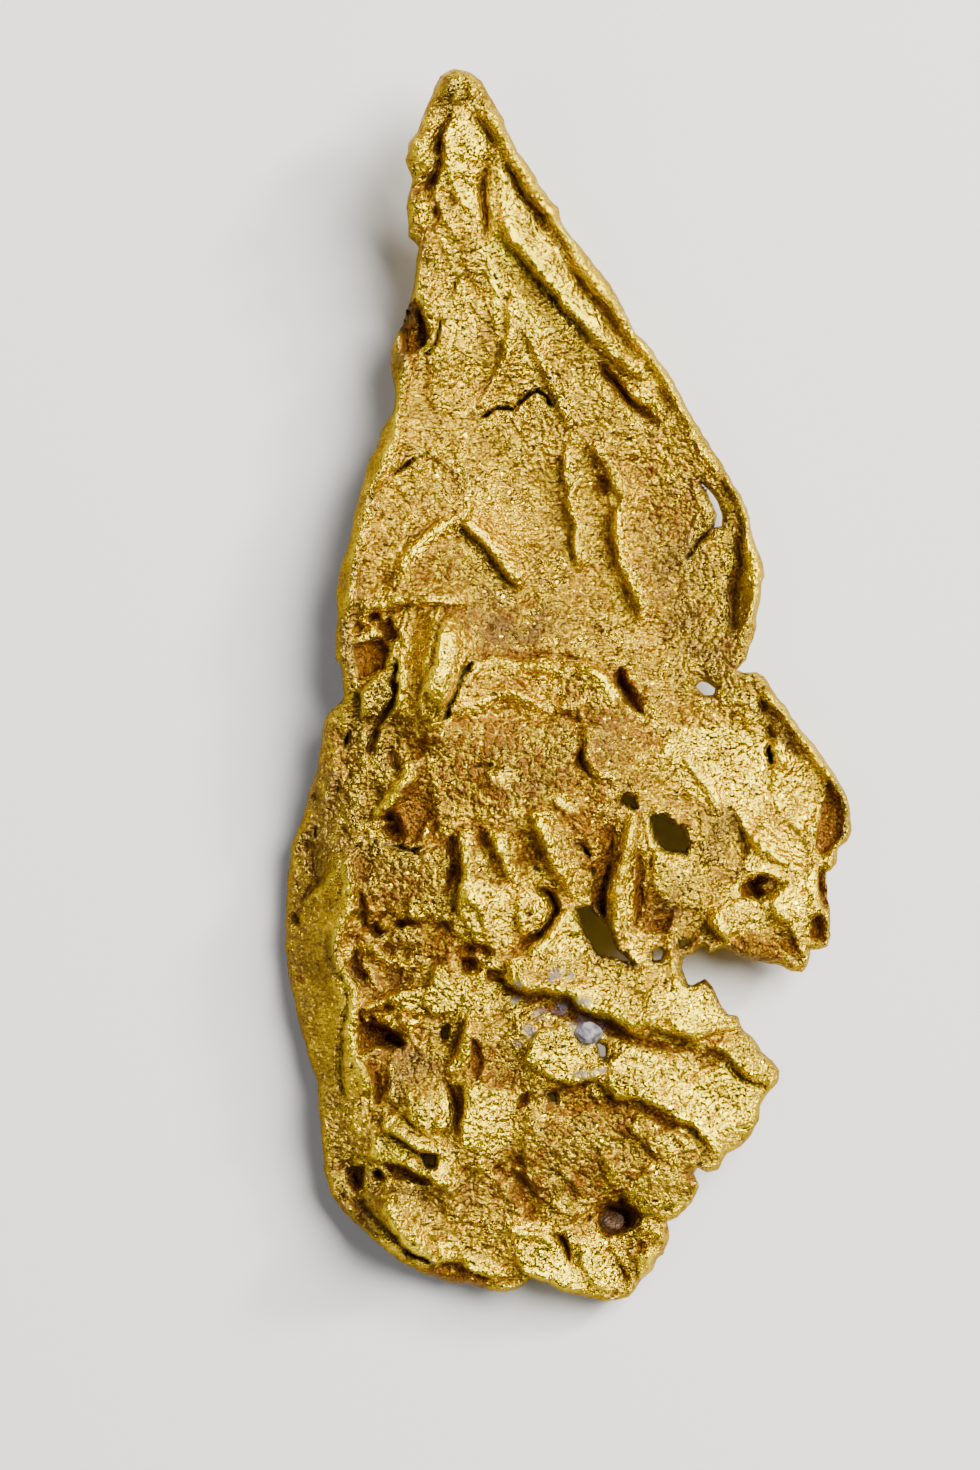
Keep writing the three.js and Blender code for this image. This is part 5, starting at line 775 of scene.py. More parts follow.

# Open cracks: depth, half width, line. Their floors are painted black, as painted shade.
CRACKS = [
    (0.9, 0.049, [(-3.55, 10.65), (-3.2, 11), (-2.8, 11.05), (-2.3, 11), (-2, 11.35), (-1.7, 11.65),
        (-1.35, 11.8), (-1, 11.65), (-0.65, 11.3)]),
    (0.4, 0.035, [(-0.65, 11.3), (-0.2, 11.9)]),
    (0.4, 0.035, [(-4.5, 16.5), (-4.65, 16), (-4.8, 15.5)]),
    (0.5, 0.042, [(-5.15, 14.8), (-5.3, 14.2), (-5.6, 13.4), (-5.9, 13.1)]),
    (0.6, 0.063, [(5.9, 6.5), (5.5, 6.1), (5.1, 5.8), (4.9, 5.4), (4.7, 5)]),
    (0.6, 0.063, [(-3.84, 0.9), (-4.36, 0.44), (-4.66, -0.34), (-5, -1), (-5.15, -1.4)]),
    (0.5, 0.056, [(-4.04, -3.2), (-3.6, -3.1), (-3.12, -3.05)]),
    (0.6, 0.049, [(-7.5, -6.45), (-6.9, -6.5), (-6.4, -6.6), (-6, -6.4)]),
    (0.5, 0.035, [(-6.4, -6.6), (-5.9, -6.8)]),
    (0.6, 0.049, [(0.2, -6.3), (0.5, -6.4), (0.7, -6.8), (0.9, -7.6)]),
    (0.5, 0.042, [(-6.9, 0.9), (-7, 0.3)]),
    (0.6, 0.042, [(-5.6, 9.3), (-6.2, 9.1), (-6.6, 8.8), (-7.1, 8.5)]),
    (0.4, 0.042, [(-8.75, -1.8), (-8.9, -2.5)]),
    (0.5, 0.042, [(-8.7, -6.4), (-8.3, -6.2)]),
    (0.5, 0.042, [(-10.15, -5.7), (-10.15, -6.1)]),
    (0.4, 0.035, [(-9.2, -4), (-9.25, -4.4)]),
    (0.5, 0.049, [(7.95, -2.5), (7.97, -3.1)]),
    (0.5, 0.049, [(-6.7, -22.5), (-6.2, -22.8), (-5.5, -23.15)]),
    (0.5, 0.042, [(-1.4, -7.1), (-1.1, -7.35)]),
    (0.4, 0.035, [(-2.3, -15), (-1.9, -14.9)]),
]

# Pits, pinholes and small lumps: centre x and y, reach along x and y, height.
PITS_AND_KNOBS = [
    (-5.5, 18.2, 0.2, 0.2, -0.28), (-4.65, 20.7, 0.25, 0.3, -0.21), (-3.9, 20.6, 0.25, 0.3, -0.21),
    (-4.75, 19.4, 0.25, 0.3, -0.21), (1.4, 8.2, 0.4, 0.7, -0.21), (-1.7, 3.4, 0.4, 0.4, -0.28),
    (-7.5, 1.6, 0.4, 0.35, -0.42), (-7.3, 1.15, 0.2, 0.22, 0.6), (-8.2, 2.3, 0.35, 0.35, -0.28),
    (-3.2, 2.3, 0.2, 0.2, -0.24), (-3.5, 1.2, 0.2, 0.2, -0.24), (-6.6, 3.2, 0.2, 0.2, -0.24),
    (-4.2, 3, 0.15, 0.15, -0.24), (-4.9, 2.45, 0.1, 0.1, -0.21), (-5, -1.2, 0.25, 0.25, -0.42),
    (-8.5, -0.7, 0.35, 0.3, -0.35), (-6.3, -2.5, 0.2, 0.3, -0.28), (-7.1, -2.7, 0.3, 0.3, -0.35),
    (-7.2, -5.7, 0.45, 0.5, -0.42), (-5.4, -5.6, 0.25, 0.25, -0.28), (-8.2, -5.8, 0.2, 0.2, -0.24),
    (-10.15, -4.5, 0.12, 0.25, -0.21), (0.6, -0.95, 0.2, 0.2, -0.24), (-0.5, -0.6, 0.2, 0.2, -0.24),
    (7.5, -5.5, 0.3, 0.3, -0.28), (7.2, -1.2, 0.35, 0.35, 0.35), (7.8, -0.9, 0.25, 0.25, -0.21),
    (6, -1.5, 0.2, 0.2, -0.21), (6.5, -0.8, 0.2, 0.2, -0.21), (4.6, -1.3, 0.25, 0.2, -0.21),
    (7.35, -8, 0.4, 0.45, -0.35), (7.5, -9, 0.18, 0.18, -0.24), (9.4, -8.35, 0.22, 0.2, -0.24),
    (9.9, -9.6, 0.25, 0.35, -0.28), (3.6, -9.5, 0.4, 0.4, -0.35), (-11.05, -9.4, 0.25, 0.3, -0.35),
    (-7.8, -13.2, 0.5, 0.4, -0.35), (-7, -14.2, 0.55, 0.3, -0.35), (-1.15, -9.2, 0.5, 0.7, 0.35),
    (-4, -10.6, 0.18, 0.18, -0.24), (6.6, -13.3, 0.2, 0.2, -0.21), (-5.2, -17.4, 0.5, 0.5, 0.3),
    (-8.6, -19.8, 0.35, 0.6, -0.42), (-7.7, -19.5, 0.25, 0.4, -0.35), (-5.4, -20.8, 0.2, 0.2, -0.24),
    (-6, -20.5, 0.3, 0.3, -0.21), (-4.4, -19.4, 0.3, 0.3, -0.24), (-4.5, -23.6, 0.3, 0.18, -0.24),
    (-3.6, -24, 0.35, 0.2, -0.21), (-5.2, -19.67, 0.15, 0.08, -0.28), (-8.55, -15.3, 0.08, 0.08, -0.28),
    (-1.28, -15.8, 0.1, 0.1, -0.28), (-7.75, -18, 0.12, 0.12, -0.28), (2.1, -20.5, 0.4, 0.4, -0.28),
    (3.2, -23.05, 0.3, 0.45, 0.35), (3.3, -22, 0.5, 0.5, 0.25), (5.5, -19.2, 0.4, 0.25, 0.3),
    (6.8, -18.1, 0.3, 0.3, -0.24), (-2.9, -19.3, 0.25, 0.2, -0.21),
]

# Iron stain, as patches: centre x and y, reach along x and y, and strength.
STAINS = [
    (-1, -2.2, 4.8, 1.6, 0.55), (2.6, -2.6, 1.3, 1.4, 0.4), (-6.3, -4.6, 1.3, 1.8, 0.75),
    (-3.9, -6.8, 1.8, 1.2, 0.6), (-2.2, -6.6, 0.9, 0.7, 0.7), (0.4, -4.9, 1.2, 1, 0.6),
    (1.3, -6.8, 0.8, 1.6, 0.65), (3.2, -8.6, 1.2, 1.4, 0.6), (-4.9, -10.3, 1.3, 1, 0.75),
    (-7.2, -9.2, 1.4, 1.2, 0.5), (-7.2, -13.6, 1.1, 1.2, 0.7), (-1.2, -11, 1.6, 0.8, 0.35),
    (0.6, -13.2, 3, 0.5, 0.5), (-0.3, -17, 2.2, 0.8, 0.2), (2, -18.4, 2.2, 1.4, 0.6),
    (-1, -19.8, 2.6, 1.4, 0.5), (3.6, -20.4, 1.2, 0.8, 0.4), (-6.6, -15.6, 1.4, 1.2, 0.4),
    (8, -10.4, 1.6, 0.6, 0.75), (5.6, -4.8, 0.7, 1.1, 0.3), (5, -1.2, 1.2, 0.8, 0.35),
    (1.6, -0.2, 1.6, 1, 0.55), (-0.6, 0.2, 1.6, 0.8, 0.45), (-6.4, -2, 1.2, 1.2, 0.45),
    (-6, 4.4, 1.8, 1, 0.35), (-8, 1.6, 0.7, 0.5, 0.6), (0.8, 5.2, 1, 2.2, 0.2), (3.6, 8.6, 1.8, 2, 0.28),
    (5, 4.4, 1.6, 2.2, 0.25), (-6.2, 14, 0.8, 1.2, 0.7), (-4.5, 20.6, 0.8, 1.4, 0.3),
    (-7.4, -20.6, 1.4, 1.2, 0.45), (-4.6, -23.7, 1.8, 0.5, 0.7), (1.6, -21, 1, 0.9, 0.7),
    (10.7, -5, 0.5, 1.4, 0.5), (-8.3, -9.4, 0.6, 1.6, 0.6), (5.8, -14.6, 0.7, 0.5, 0.6),
    (6.8, -18, 0.5, 0.5, 0.6), (-5.8, 17.8, 0.5, 0.6, 0.35), (2, 12, 0.8, 1.2, 0.4),
    (-2.4, 2.2, 2.2, 1.1, 0.6), (1.3, 8.6, 0.5, 0.8, 0.4), (-1.6, -3.6, 2.6, 1.2, 0.6),
    (-2.6, -15.2, 1.4, 0.9, 0.5), (-8.2, 1, 0.8, 1, 0.5), (-9.8, -4, 0.9, 2.4, 0.35),
    (-10.6, -11, 0.9, 3.4, 0.25), (6.6, 1.2, 0.8, 0.7, 0.5),
]

# Bare bright gold, worn smooth and partly painted highlight: centre x and y, reach along x and y, and
# strength.
RUBBED_AND_HIGHLIGHT_PATCHES = [
    (8.6, -6.4, 1, 0.9, 0.8), (8.7, -8, 1.1, 0.9, 0.7), (7.6, -4.2, 0.8, 1, 0.7),
    (6.5, -9.4, 1.1, 0.7, 0.7), (0.6, -14.6, 1.2, 0.6, 1), (-1, -15, 1.2, 0.6, 0.6),
    (6.2, -16.4, 1.5, 1.4, 0.9), (4.2, -15.4, 1.5, 0.8, 0.6), (4.4, -12.9, 1.2, 0.8, 0.6),
    (-3.4, -8.6, 0.9, 1, 0.7), (-2, -8, 0.8, 0.9, 0.5), (-4.2, -4, 0.6, 0.5, 0.3),
    (-2.6, -3.6, 0.5, 0.4, 0.5), (0, -8.8, 0.8, 0.9, 0.6), (1, -12, 1.2, 0.7, 0.5),
    (-2.6, 1.8, 1.6, 0.6, 0.3), (-3, 6.6, 1.4, 1.6, 0.3), (-4.2, 21, 0.8, 2.2, 0.8),
    (-2.8, 18.6, 0.9, 2.8, 0.7), (0, 16.4, 0.8, 1.8, 0.5), (-4.6, 15, 0.8, 1.6, 0.5),
    (3.2, 13.2, 0.8, 1.6, 0.8), (8.6, -3, 1.4, 1.6, 0.5), (5.2, -2.8, 1.6, 1.2, 0.3),
    (-3.4, -12.6, 1.4, 0.6, 0.4), (-5.4, -2, 0.5, 1.2, 0.5), (7.4, 5, 0.5, 2.5, 0.5),
    (-4.6, 1.2, 0.5, 1.8, 0.6), (0.2, -23.2, 1.6, 0.9, 0.6), (-5.2, -17.4, 0.7, 0.7, 0.6),
    (-6.8, -7.6, 0.9, 0.6, 0.4), (4.6, -6.9, 1.2, 0.9, 0.5),
]

# Dull, filmed-over gold and painted shade, mostly on the sides of the rims: centre x and y, reach along x
# and y, strength.
DULL_AND_SHADE_PATCHES = [
    (-10.3, -6, 1.2, 3.5, 0.8), (-10.6, -11, 1, 3.5, 0.6), (-9.8, -16, 0.8, 3, 0.6),
    (-8.6, -20.5, 0.9, 1.6, 0.7), (-9.3, -3, 0.8, 2, 0.8), (-7.8, -2, 1, 1.6, 0.6), (-9, 4, 0.7, 3.5, 0.9),
    (-8.2, 8.6, 0.6, 2.8, 0.9), (-7.1, 12.6, 0.5, 2, 0.9), (-6.5, 20, 0.4, 2.5, 0.5),
    (-4.8, 24, 1.2, 0.9, 1), (-7.6, -6.8, 1.2, 0.8, 0.8), (11, -6, 0.5, 1.2, 0.8), (-7, -15, 1.2, 0.8, 0.7),
    (-2.6, 2.8, 2.4, 1.2, 0.7), (4.2, 4.5, 1.3, 2.5, 0.6), (6.8, 2.8, 0.8, 1.4, 0.6),
    (4, -8.8, 1.2, 1.2, 0.6), (-2.5, -15, 1, 0.6, 0.6), (-0.5, -19, 0.6, 1.2, 0.5),
    (-6, -20.6, 2, 0.8, 0.6), (-2, -3, 1.4, 1.2, 0.5), (1.5, -2, 0.8, 1.2, 0.5), (6, -7.6, 1.2, 0.6, 0.4),
    (-7.2, 12.6, 0.5, 1.4, 0.9), (-8.3, 9, 0.6, 1.6, 0.8), (-6.6, 18.4, 0.5, 2, 0.6),
    (-10.2, -10, 1.1, 4.5, 0.7), (-9.8, -16.5, 0.9, 2.5, 0.5), (-8.8, -4.4, 1, 1.2, 0.6),
    (-8.3, -7.2, 0.9, 0.8, 0.7), (11.1, -5.6, 0.5, 1, 0.8), (-0.5, 17.3, 0.8, 0.6, 0.6),
    (5.5, 1, 1.2, 1, 0.6), (-9, -19, 0.8, 0.8, 0.8), (-6, -15, 1, 0.7, 0.6),
]

# Grey-violet mineral dust that lies in the gold's hollows: centre x and y, reach along x and y, strength.
GREY_DUST = [
    (-0.45, -11.45, 0.35, 0.2, 1), (-0.9, -11.7, 0.25, 0.2, 1), (0.1, -11.6, 0.3, 0.15, 1),
    (-2.05, -12.55, 0.35, 0.15, 1), (-0.3, -12.9, 0.4, 0.25, 1), (0.5, -12.6, 0.3, 0.2, 1),
    (-1.65, -13.8, 0.25, 0.25, 1), (-0.65, -13.7, 0.3, 0.15, 1), (-2.3, -14.3, 0.3, 0.15, 1),
    (0.55, -15.5, 0.4, 0.15, 1), (1.3, -15.35, 0.35, 0.12, 1), (-2.1, -11.9, 0.2, 0.15, 1),
    (0.7, -13.7, 0.7, 0.6, 1), (-1.2, -13.1, 0.35, 0.2, 1),
]


def smooth_step(t):
    t = np.clip(t, 0, 1)
    return t * t * (3 - 2 * t)


def turned_cells(x, y, size, seed):
    """The cells of a square grid on axes turned by the seed: each point's cell, and its place in it."""
    u = (x * math.cos(seed) + y * math.sin(seed)) / size
    v = (y * math.cos(seed) - x * math.sin(seed)) / size
    column, row = np.floor(u).astype(int), np.floor(v).astype(int)
    return column, row, u - column, v - row


def noise(x, y, size, seed):
    """Smooth random values from -1 to 1, in lumps of about this size."""
    table = np.random.default_rng(seed).uniform(-1, 1, (TABLE_SIZE, TABLE_SIZE))
    column, row, across, up = turned_cells(x, y, size, seed)
    across, up = smooth_step(across), smooth_step(up)
    value = [[table[(row + j) % TABLE_SIZE, (column + i) % TABLE_SIZE] for i in (0, 1)] for j in (0, 1)]
    lower = value[0][0] * (1 - across) + value[0][1] * across
    upper = value[1][0] * (1 - across) + value[1][1] * across
    return lower * (1 - up) + upper * up


def uneven(base, *waves):
    """A value that comes and goes over the grid: each wave is its strength, its size and its seed."""
    return base + sum(strength * noise(x, y, size, seed) for strength, size, seed in waves)


def facets(x, y, size, slope, seed):
    """Flat facets about this big, each tilted its own way, that meet in creases."""
    random = np.random.default_rng(seed)
    shift_x, shift_y = random.uniform(0, 1, (2, TABLE_SIZE, TABLE_SIZE))
    tilt_x, tilt_y = random.uniform(-slope, slope, (2, TABLE_SIZE, TABLE_SIZE))
    column, row, across, up = turned_cells(x, y, size, seed)
    best = np.full(len(x), -np.inf)
    for j in (-1, 0, 1):
        for i in (-1, 0, 1):
            at = (row + j) % TABLE_SIZE, (column + i) % TABLE_SIZE
            du = across - i - shift_x[at]
            dv = up - j - shift_y[at]
            height = tilt_x[at] * du + tilt_y[at] * dv - slope * (du * du + dv * dv)
            best = np.maximum(best, size * height)
    return best


def line_profile(x, y, reach, points):
    """Where the points lie near a line: their numbers, distance, side (1 on the left) and end fade."""
    line = np.array(points, float)
    near = np.flatnonzero(
        (x > line[:, 0].min() - reach) & (x < line[:, 0].max() + reach)
        & (y > line[:, 1].min() - reach) & (y < line[:, 1].max() + reach))
    distance = np.full(len(near), np.inf)
    side = np.ones(len(near))
    along = np.zeros(len(near))
    done = 0.0
    for start, end in zip(line[:-1], line[1:]):
        step = end - start
        length = math.hypot(*step)
        dx, dy = x[near] - start[0], y[near] - start[1]
        t = np.clip((dx * step[0] + dy * step[1]) / length ** 2, 0, 1)
        gap = np.hypot(dx - t * step[0], dy - t * step[1])
        closer = gap < distance
        distance[closer] = gap[closer]
        side[closer] = np.sign(step[0] * dy - step[1] * dx)[closer]
        along[closer] = (done + t * length)[closer]
        done += length
    ends = np.minimum(along, done - along)
    return near, distance, side, ends


def fold_relief(x, y, folds, fade, power=1.5, dirt_and_shade=None):
    """Height that folds add: full on the line, down to nothing at their reach on either side.

    Dirt and painted shade, where given, gather in the cores of grooves and at the foot of steep walls."""
    relief = np.zeros(len(x))
    for height, left, right, points in folds:
        near, distance, side, ends = line_profile(x, y, max(left, right), points)
        reach = np.where(side > 0, left, right)
        shown = smooth_step(ends / fade)
        relief[near] += height * np.clip(1 - distance / reach, 0, 1) ** power * shown
        if dirt_and_shade is not None:
            core = np.minimum(reach, DIRT_AND_SHADE_CORE) if height < 0 else np.where(reach < STEEP_REACH, reach, 0)
            lain = smooth_step(2 * (0.9 - distance / np.maximum(core, TINY)))
            dirt_and_shade[near] = np.maximum(dirt_and_shade[near], min(1, abs(height) / DARKEST_DEPTH) * lain * shown)
    return relief


def oval_distance(x, y, centre_x, centre_y, reach_x, reach_y):
    """How far out in an oval each point lies: 0 at its centre, 1 on its edge."""
    return np.hypot((x - centre_x) / reach_x, (y - centre_y) / reach_y)


def boss_relief(x, y, bosses):
    """Lumps and hollows, each an oval whose edge wanders in and out."""
    relief = np.zeros(len(x))
    wobble = 0.6 * noise(x, y, 0.5, 51) + 0.4 * noise(x, y, 0.25, 52)
    for *oval, height in bosses:
        away = oval_distance(x, y, *oval)
        relief += height * (1 - smooth_step(away + wobble * (away < 2)))
    return relief


def lay_plates(x, y, plates, finish):
    """The relief of flat plates with steep edges, how far each point lies under one, and their finish.

    Each plate covers those before it; the finish is a list of stain, rubbing that is partly painted
    highlight, dulling that is partly painted shade, and dirt that is partly painted shade."""
    relief, covered = np.zeros(len(x)), np.zeros(len(x))
    worn = np.clip(0.8 + 0.7 * noise(x, y, 0.8, 53) + 0.5 * noise(x, y, 0.3, 54), 0, 1)
    for kind, corners in plates:
        corners = np.array(corners)
        border, heights = corners[:, :2], corners[:, 2]
        low, high = border.min(axis=0) - PLATE_EDGE, border.max(axis=0) + PLATE_EDGE
        near = np.flatnonzero((x > low[0]) & (x < high[0]) & (y > low[1]) & (y < high[1]))
        tilt = np.linalg.lstsq(np.c_[border, np.ones(len(corners))], heights, rcond=None)[0]
        plane = np.clip(tilt[0] * x[near] + tilt[1] * y[near] + tilt[2], heights.min(), heights.max())
        depth = nearest_on([border], x[near], y[near])[1]
        depth = np.minimum(depth, PLATE_EDGE) * np.where(inside(x[near], y[near], border), 1, -1)
        cover = smooth_step(0.5 + depth / PLATE_EDGE)
        relief[near] += cover * (plane - relief[near])
        covered[near] = np.maximum(covered[near], cover)
        for values, amount in zip(finish, PLATE_FINISH[kind]):
            values[near] += PLATE_SHARE * cover * worn[near] * (amount - values[near])
    return relief, covered


def sheet_height(x, y):
    """The smooth sheet through the spot heights: their mean, weighted by nearness."""
    total, weights = np.zeros(len(x)), np.zeros(len(x))
    for spot_x, spot_y, height in SPOT_HEIGHTS:
        weight = np.exp(-((x - spot_x) ** 2 + (y - spot_y) ** 2) / (2 * WARP_REACH ** 2)) + TINY ** 2
        total += weight * height
        weights += weight
    return total / weights


def patch_strength(x, y, patches):
    """How strongly each point lies in a list of soft-edged patches, from 0 to 1."""
    strength = np.zeros(len(x))
    for *oval, given in patches:
        strength = np.maximum(strength, given * smooth_step(1.6 - oval_distance(x, y, *oval)))
    return strength


def blurred(values, cells):
    """A grid of heights averaged over a soft round window of this many cells."""
    reach = int(3 * cells)
    window = np.exp(-np.arange(-reach, reach + 1) ** 2 / (2 * cells ** 2))
    window /= window.sum()
    padded = np.pad(values, reach, mode="edge")
    rows = sum(w * padded[:, i:i + values.shape[1]] for i, w in enumerate(window))
    return sum(w * rows[i:i + values.shape[0]] for i, w in enumerate(window))


def sunk(cells):
    """How far each point of the face lies under the mean of what is round it."""
    face_grid = front.reshape(rows + 1, columns + 1)
    return (blurred(face_grid, cells) - face_grid).ravel()


def torn_outline(corners):
    """A closed outline with points every tenth of a millimetre, made a little ragged."""
    points = []
    for start, end in zip(corners, corners[1:] + corners[:1]):
        count = max(1, round(math.dist(start, end) / EDGE_STEP))
        points += [np.array(start) + (np.array(end) - start) * i / count for i in range(count)]
    points = np.array(points)
    x, y = points.T
    points[:, 0] += RAGGED * noise(x, y, 0.45, 11) + 0.5 * RAGGED * noise(x, y, 0.18, 12)
    points[:, 1] += RAGGED * noise(x, y, 0.45, 13) + 0.5 * RAGGED * noise(x, y, 0.18, 14)
    return points


def inside(x, y, outline):
    """Which points lie inside a closed outline, by counting the edges that cross a ray to the right."""
    crossings = np.zeros(len(x), int)
    for (x1, y1), (x2, y2) in zip(outline, np.roll(outline, -1, axis=0)):
        if y1 != y2:
            crossed = (y1 > y) != (y2 > y)
            crossings[crossed] += x[crossed] < x1 + (y[crossed] - y1) * (x2 - x1) / (y2 - y1)
    return crossings % 2 == 1


def nearest_on(outlines, x, y):
    """The nearest outline point to each place, and its distance."""
    best = np.full(len(x), np.inf)
    place = np.zeros((len(x), 2))
    for outline in outlines:
        for (x1, y1), (x2, y2) in zip(outline, np.roll(outline, -1, axis=0)):
            near = np.flatnonzero((abs(x - x1) < RIM_REACH) & (abs(y - y1) < RIM_REACH))
            step_x, step_y = x2 - x1, y2 - y1
            length = step_x ** 2 + step_y ** 2 + TINY ** 2
            t = np.clip(((x[near] - x1) * step_x + (y[near] - y1) * step_y) / length, 0, 1)
            spot = np.stack([x1 + t * step_x, y1 + t * step_y], axis=1)
            gap = np.hypot(x[near] - spot[:, 0], y[near] - spot[:, 1])
            closer = gap < best[near]
            best[near[closer]] = gap[closer]
            place[near[closer]] = spot[closer]
    return place, best


edge = torn_outline(BLADE_EDGE + WING_EDGE + LOBE_EDGE + FOOT_AND_LEFT_EDGE)
tears = [torn_outline(hole) for hole in HOLES]

# The grid of cells that the leaf is cut from.
columns = round((RIGHT - LEFT) / CELL)
rows = round((TOP - BOTTOM) / CELL)
leaf = bmesh.new()
bmesh.ops.create_grid(leaf, x_segments=columns, y_segments=rows, size=0.5)
bmesh.ops.scale(leaf, vec=(RIGHT - LEFT, TOP - BOTTOM, 1), verts=leaf.verts)
bmesh.ops.translate(leaf, vec=((RIGHT + LEFT) / 2, (TOP + BOTTOM) / 2, 0), verts=leaf.verts)
places = np.array([v.co[:2] for v in leaf.verts])
x, y = places.T

# The face: the smooth sheet, its folds, plates and cracks along wandering lines, and its pits.
wander_x = x + WANDER * uneven(0, (1, 1.1, 1), (0.4, 0.35, 2))
wander_y = y + WANDER * uneven(0, (1, 1.1, 3), (0.4, 0.35, 4))
sheet = sheet_height(x, y)
folds = fold_relief(wander_x, wander_y, CREASES, CREASE_FADE)
dirt_and_shade = np.zeros(len(x))
fine = fold_relief(wander_x, wander_y, FINE_FOLDS, FINE_FADE, FINE_POWER, dirt_and_shade)
dirt_and_shade *= DIRT_AND_SHADE_SHARE * uneven(0.75, (0.6, 0.5, 35), (0.4, 0.2, 36))
fine += boss_relief(wander_x, wander_y, PITS_AND_KNOBS)
# Stain from its patches, rubbed gold that is partly painted highlight, and dull film that is partly painted
# shade.
stain, bright, dull_and_shade = (patch_strength(x, y, patches) for patches in (STAINS, RUBBED_AND_HIGHLIGHT_PATCHES, DULL_AND_SHADE_PATCHES))
plates, covered = lay_plates(wander_x, wander_y, PLATES, [stain, bright, dull_and_shade, dirt_and_shade])
fine += plates
crack_shade = np.zeros(len(x))
for depth, half_width, points in CRACKS:
    reach = CRACK_SIDES * half_width
    near, distance, _, ends = line_profile(wander_x, wander_y, reach + CRACK_STRAY, points)
    distance -= CRACK_STRAY * noise(x[near], y[near], 0.3, 28)
    profile = 1 - smooth_step(distance / reach)
    fine[near] -= depth * profile * smooth_step(ends / CRACK_FADE + 0.2)
    crack_shade[near] = np.maximum(crack_shade[near], 1 - smooth_step((distance / half_width - 0.5) / 1.2))

# Lumps all over it; facets, ridges and growth steps where it is crumpled, which is below the waist more
# than on the blade, inside the left band more than on it, and least on plates and on rubbed places,
# which also carry painted highlight.
coarse = (1 - 0.5 * np.clip(bright, 0, 1)) * (0.6 + 0.4 * smooth_step((TIP - y) / TIP_FADE))
below_waist, on_band = smooth_step((WAIST - y) / WAIST_FADE), smooth_step((BAND - x) / BAND_FADE)
crumpled = 0.35 + 0.65 * below_waist * (1 - 0.6 * on_band)
crumpled *= (1 - 0.6 * covered) * coarse
lumps = uneven(0, (0.10, 2.2, 5), (0.07, 0.9, 6)) + coarse * uneven(0, (0.035, 0.4, 7), (0.022, 0.2, 8))
lumps += crumpled * (0.7 * facets(wander_x, wander_y, 1.5, 0.34, 21) + 0.4 * facets(x, y, 0.7, 0.36, 22))
ridged = crumpled * (1 - abs(noise(wander_x, wander_y, 0.6, 24)))
lumps += 0.08 * ridged ** 3 + 0.02 * crumpled * (1 - abs(noise(x, y, 0.3, 25))) ** 3
layers = noise(wander_x, wander_y, 2.6, 26) + 0.5 * noise(wander_x, wander_y, 1.0, 27)
step = layers / STEP_SPACING - np.floor(layers / STEP_SPACING)
lumps += crumpled * STEP_HEIGHT * (smooth_step(step / STEP_EDGE) - step)
front = sheet + folds + boss_relief(wander_x, wander_y, BOSSES) + fine + lumps
front -= THORN_WEAR * np.clip(-sunk(THORN_CELLS) - THORN_HEIGHT, 0, None)
front = np.maximum(front, LEAST_WALL)

# The back follows the face a wall's thickness below it, smoother, and is worn flat where it rests.
back = sheet - SHEET_THICKNESS + BACK_SHARE * folds + BACK_LUMPS * lumps
back -= fold_relief(wander_x, wander_y, BACK_CREASES, CREASE_FADE)
back = np.clip(back, 0, front - LEAST_WALL)
for foot in FEET:
    back *= smooth_step((oval_distance(x, y, *foot) - FOOT_FLAT) / (1 - FOOT_FLAT))

# Rust, and dirt that is partly painted shade, gather where the face lies under its surroundings; where it
# stands proud it is rubbed, and painted lighter as a highlight.
hollow = sunk(HOLLOW_CELLS)
stain *= uneven(0.75, (0.5, 0.7, 31), (0.35, 0.25, 32))
stain += 1.2 * np.clip(hollow - 0.06, 0, 0.3) + 0.8 * np.clip(sunk(BASIN_CELLS) - 0.08, 0, 0.6)
bright *= uneven(0.8, (0.4, 0.6, 33))
bright += np.clip(-3 * hollow, 0, 0.7)
dirt_and_shade = np.maximum(dirt_and_shade, 0.55 * smooth_step((hollow - 0.08) / 0.2))
dust = patch_strength(x, y, GREY_DUST) * smooth_step(uneven(0.6, (1.2, 0.22, 34)))

# Cut to the outline, and the staircase of cells at the edge drawn onto the outline.
cells = np.array([[v.index for v in f.verts] for f in leaf.faces])
middle = places[cells].mean(axis=1)
kept = inside(middle[:, 0], middle[:, 1], edge)
for tear in tears:
    kept &= ~inside(middle[:, 0], middle[:, 1], tear)
number = leaf.verts.layers.int.new("number")
for v in leaf.verts:
    v[number] = v.index
doomed = [f for f, keep in zip(leaf.faces, kept) if not keep]
bmesh.ops.delete(leaf, geom=doomed, context="FACES")
leaf.verts.ensure_lookup_table()
face_numbers = np.array([v[number] for v in leaf.verts])
place, rim_distance = nearest_on([edge, *tears], x[face_numbers], y[face_numbers])
on_rim = np.array([v.is_boundary for v in leaf.verts])
rim_distance[on_rim] = 0

# The two faces close on each other round the rim, as a folded edge does.
rim = np.sqrt(np.clip(1 - (1 - np.clip(rim_distance / RIM_RADIUS, 0, 1)) ** 2, 0, 1))
level = (front + back)[face_numbers] / 2
face_z = level + (front[face_numbers] - level) * rim
back_z = level + (back[face_numbers] - level) * rim
for v, at, spot, edged in zip(leaf.verts, face_numbers, place, on_rim):
    v.co.xy = spot if edged else (x[at], y[at])

# The back is a copy of the face, turned over and welded to it round the rim.
face_verts = leaf.verts[:]
copied = bmesh.ops.duplicate(leaf, geom=leaf.verts[:] + leaf.edges[:] + leaf.faces[:])
twin_of = copied["vert_map"]
back_faces = [f for f in copied["geom"] if isinstance(f, bmesh.types.BMFace)]
bmesh.ops.reverse_faces(leaf, faces=back_faces)
welds = {}
for v, front_z, low_z, edged in zip(face_verts, face_z, back_z, on_rim):
    twin = twin_of[v]
    v.co.z = front_z
    twin.co.z = front_z if edged else low_z
    if edged:
        welds[twin] = v
bmesh.ops.weld_verts(leaf, targetmap=welds)

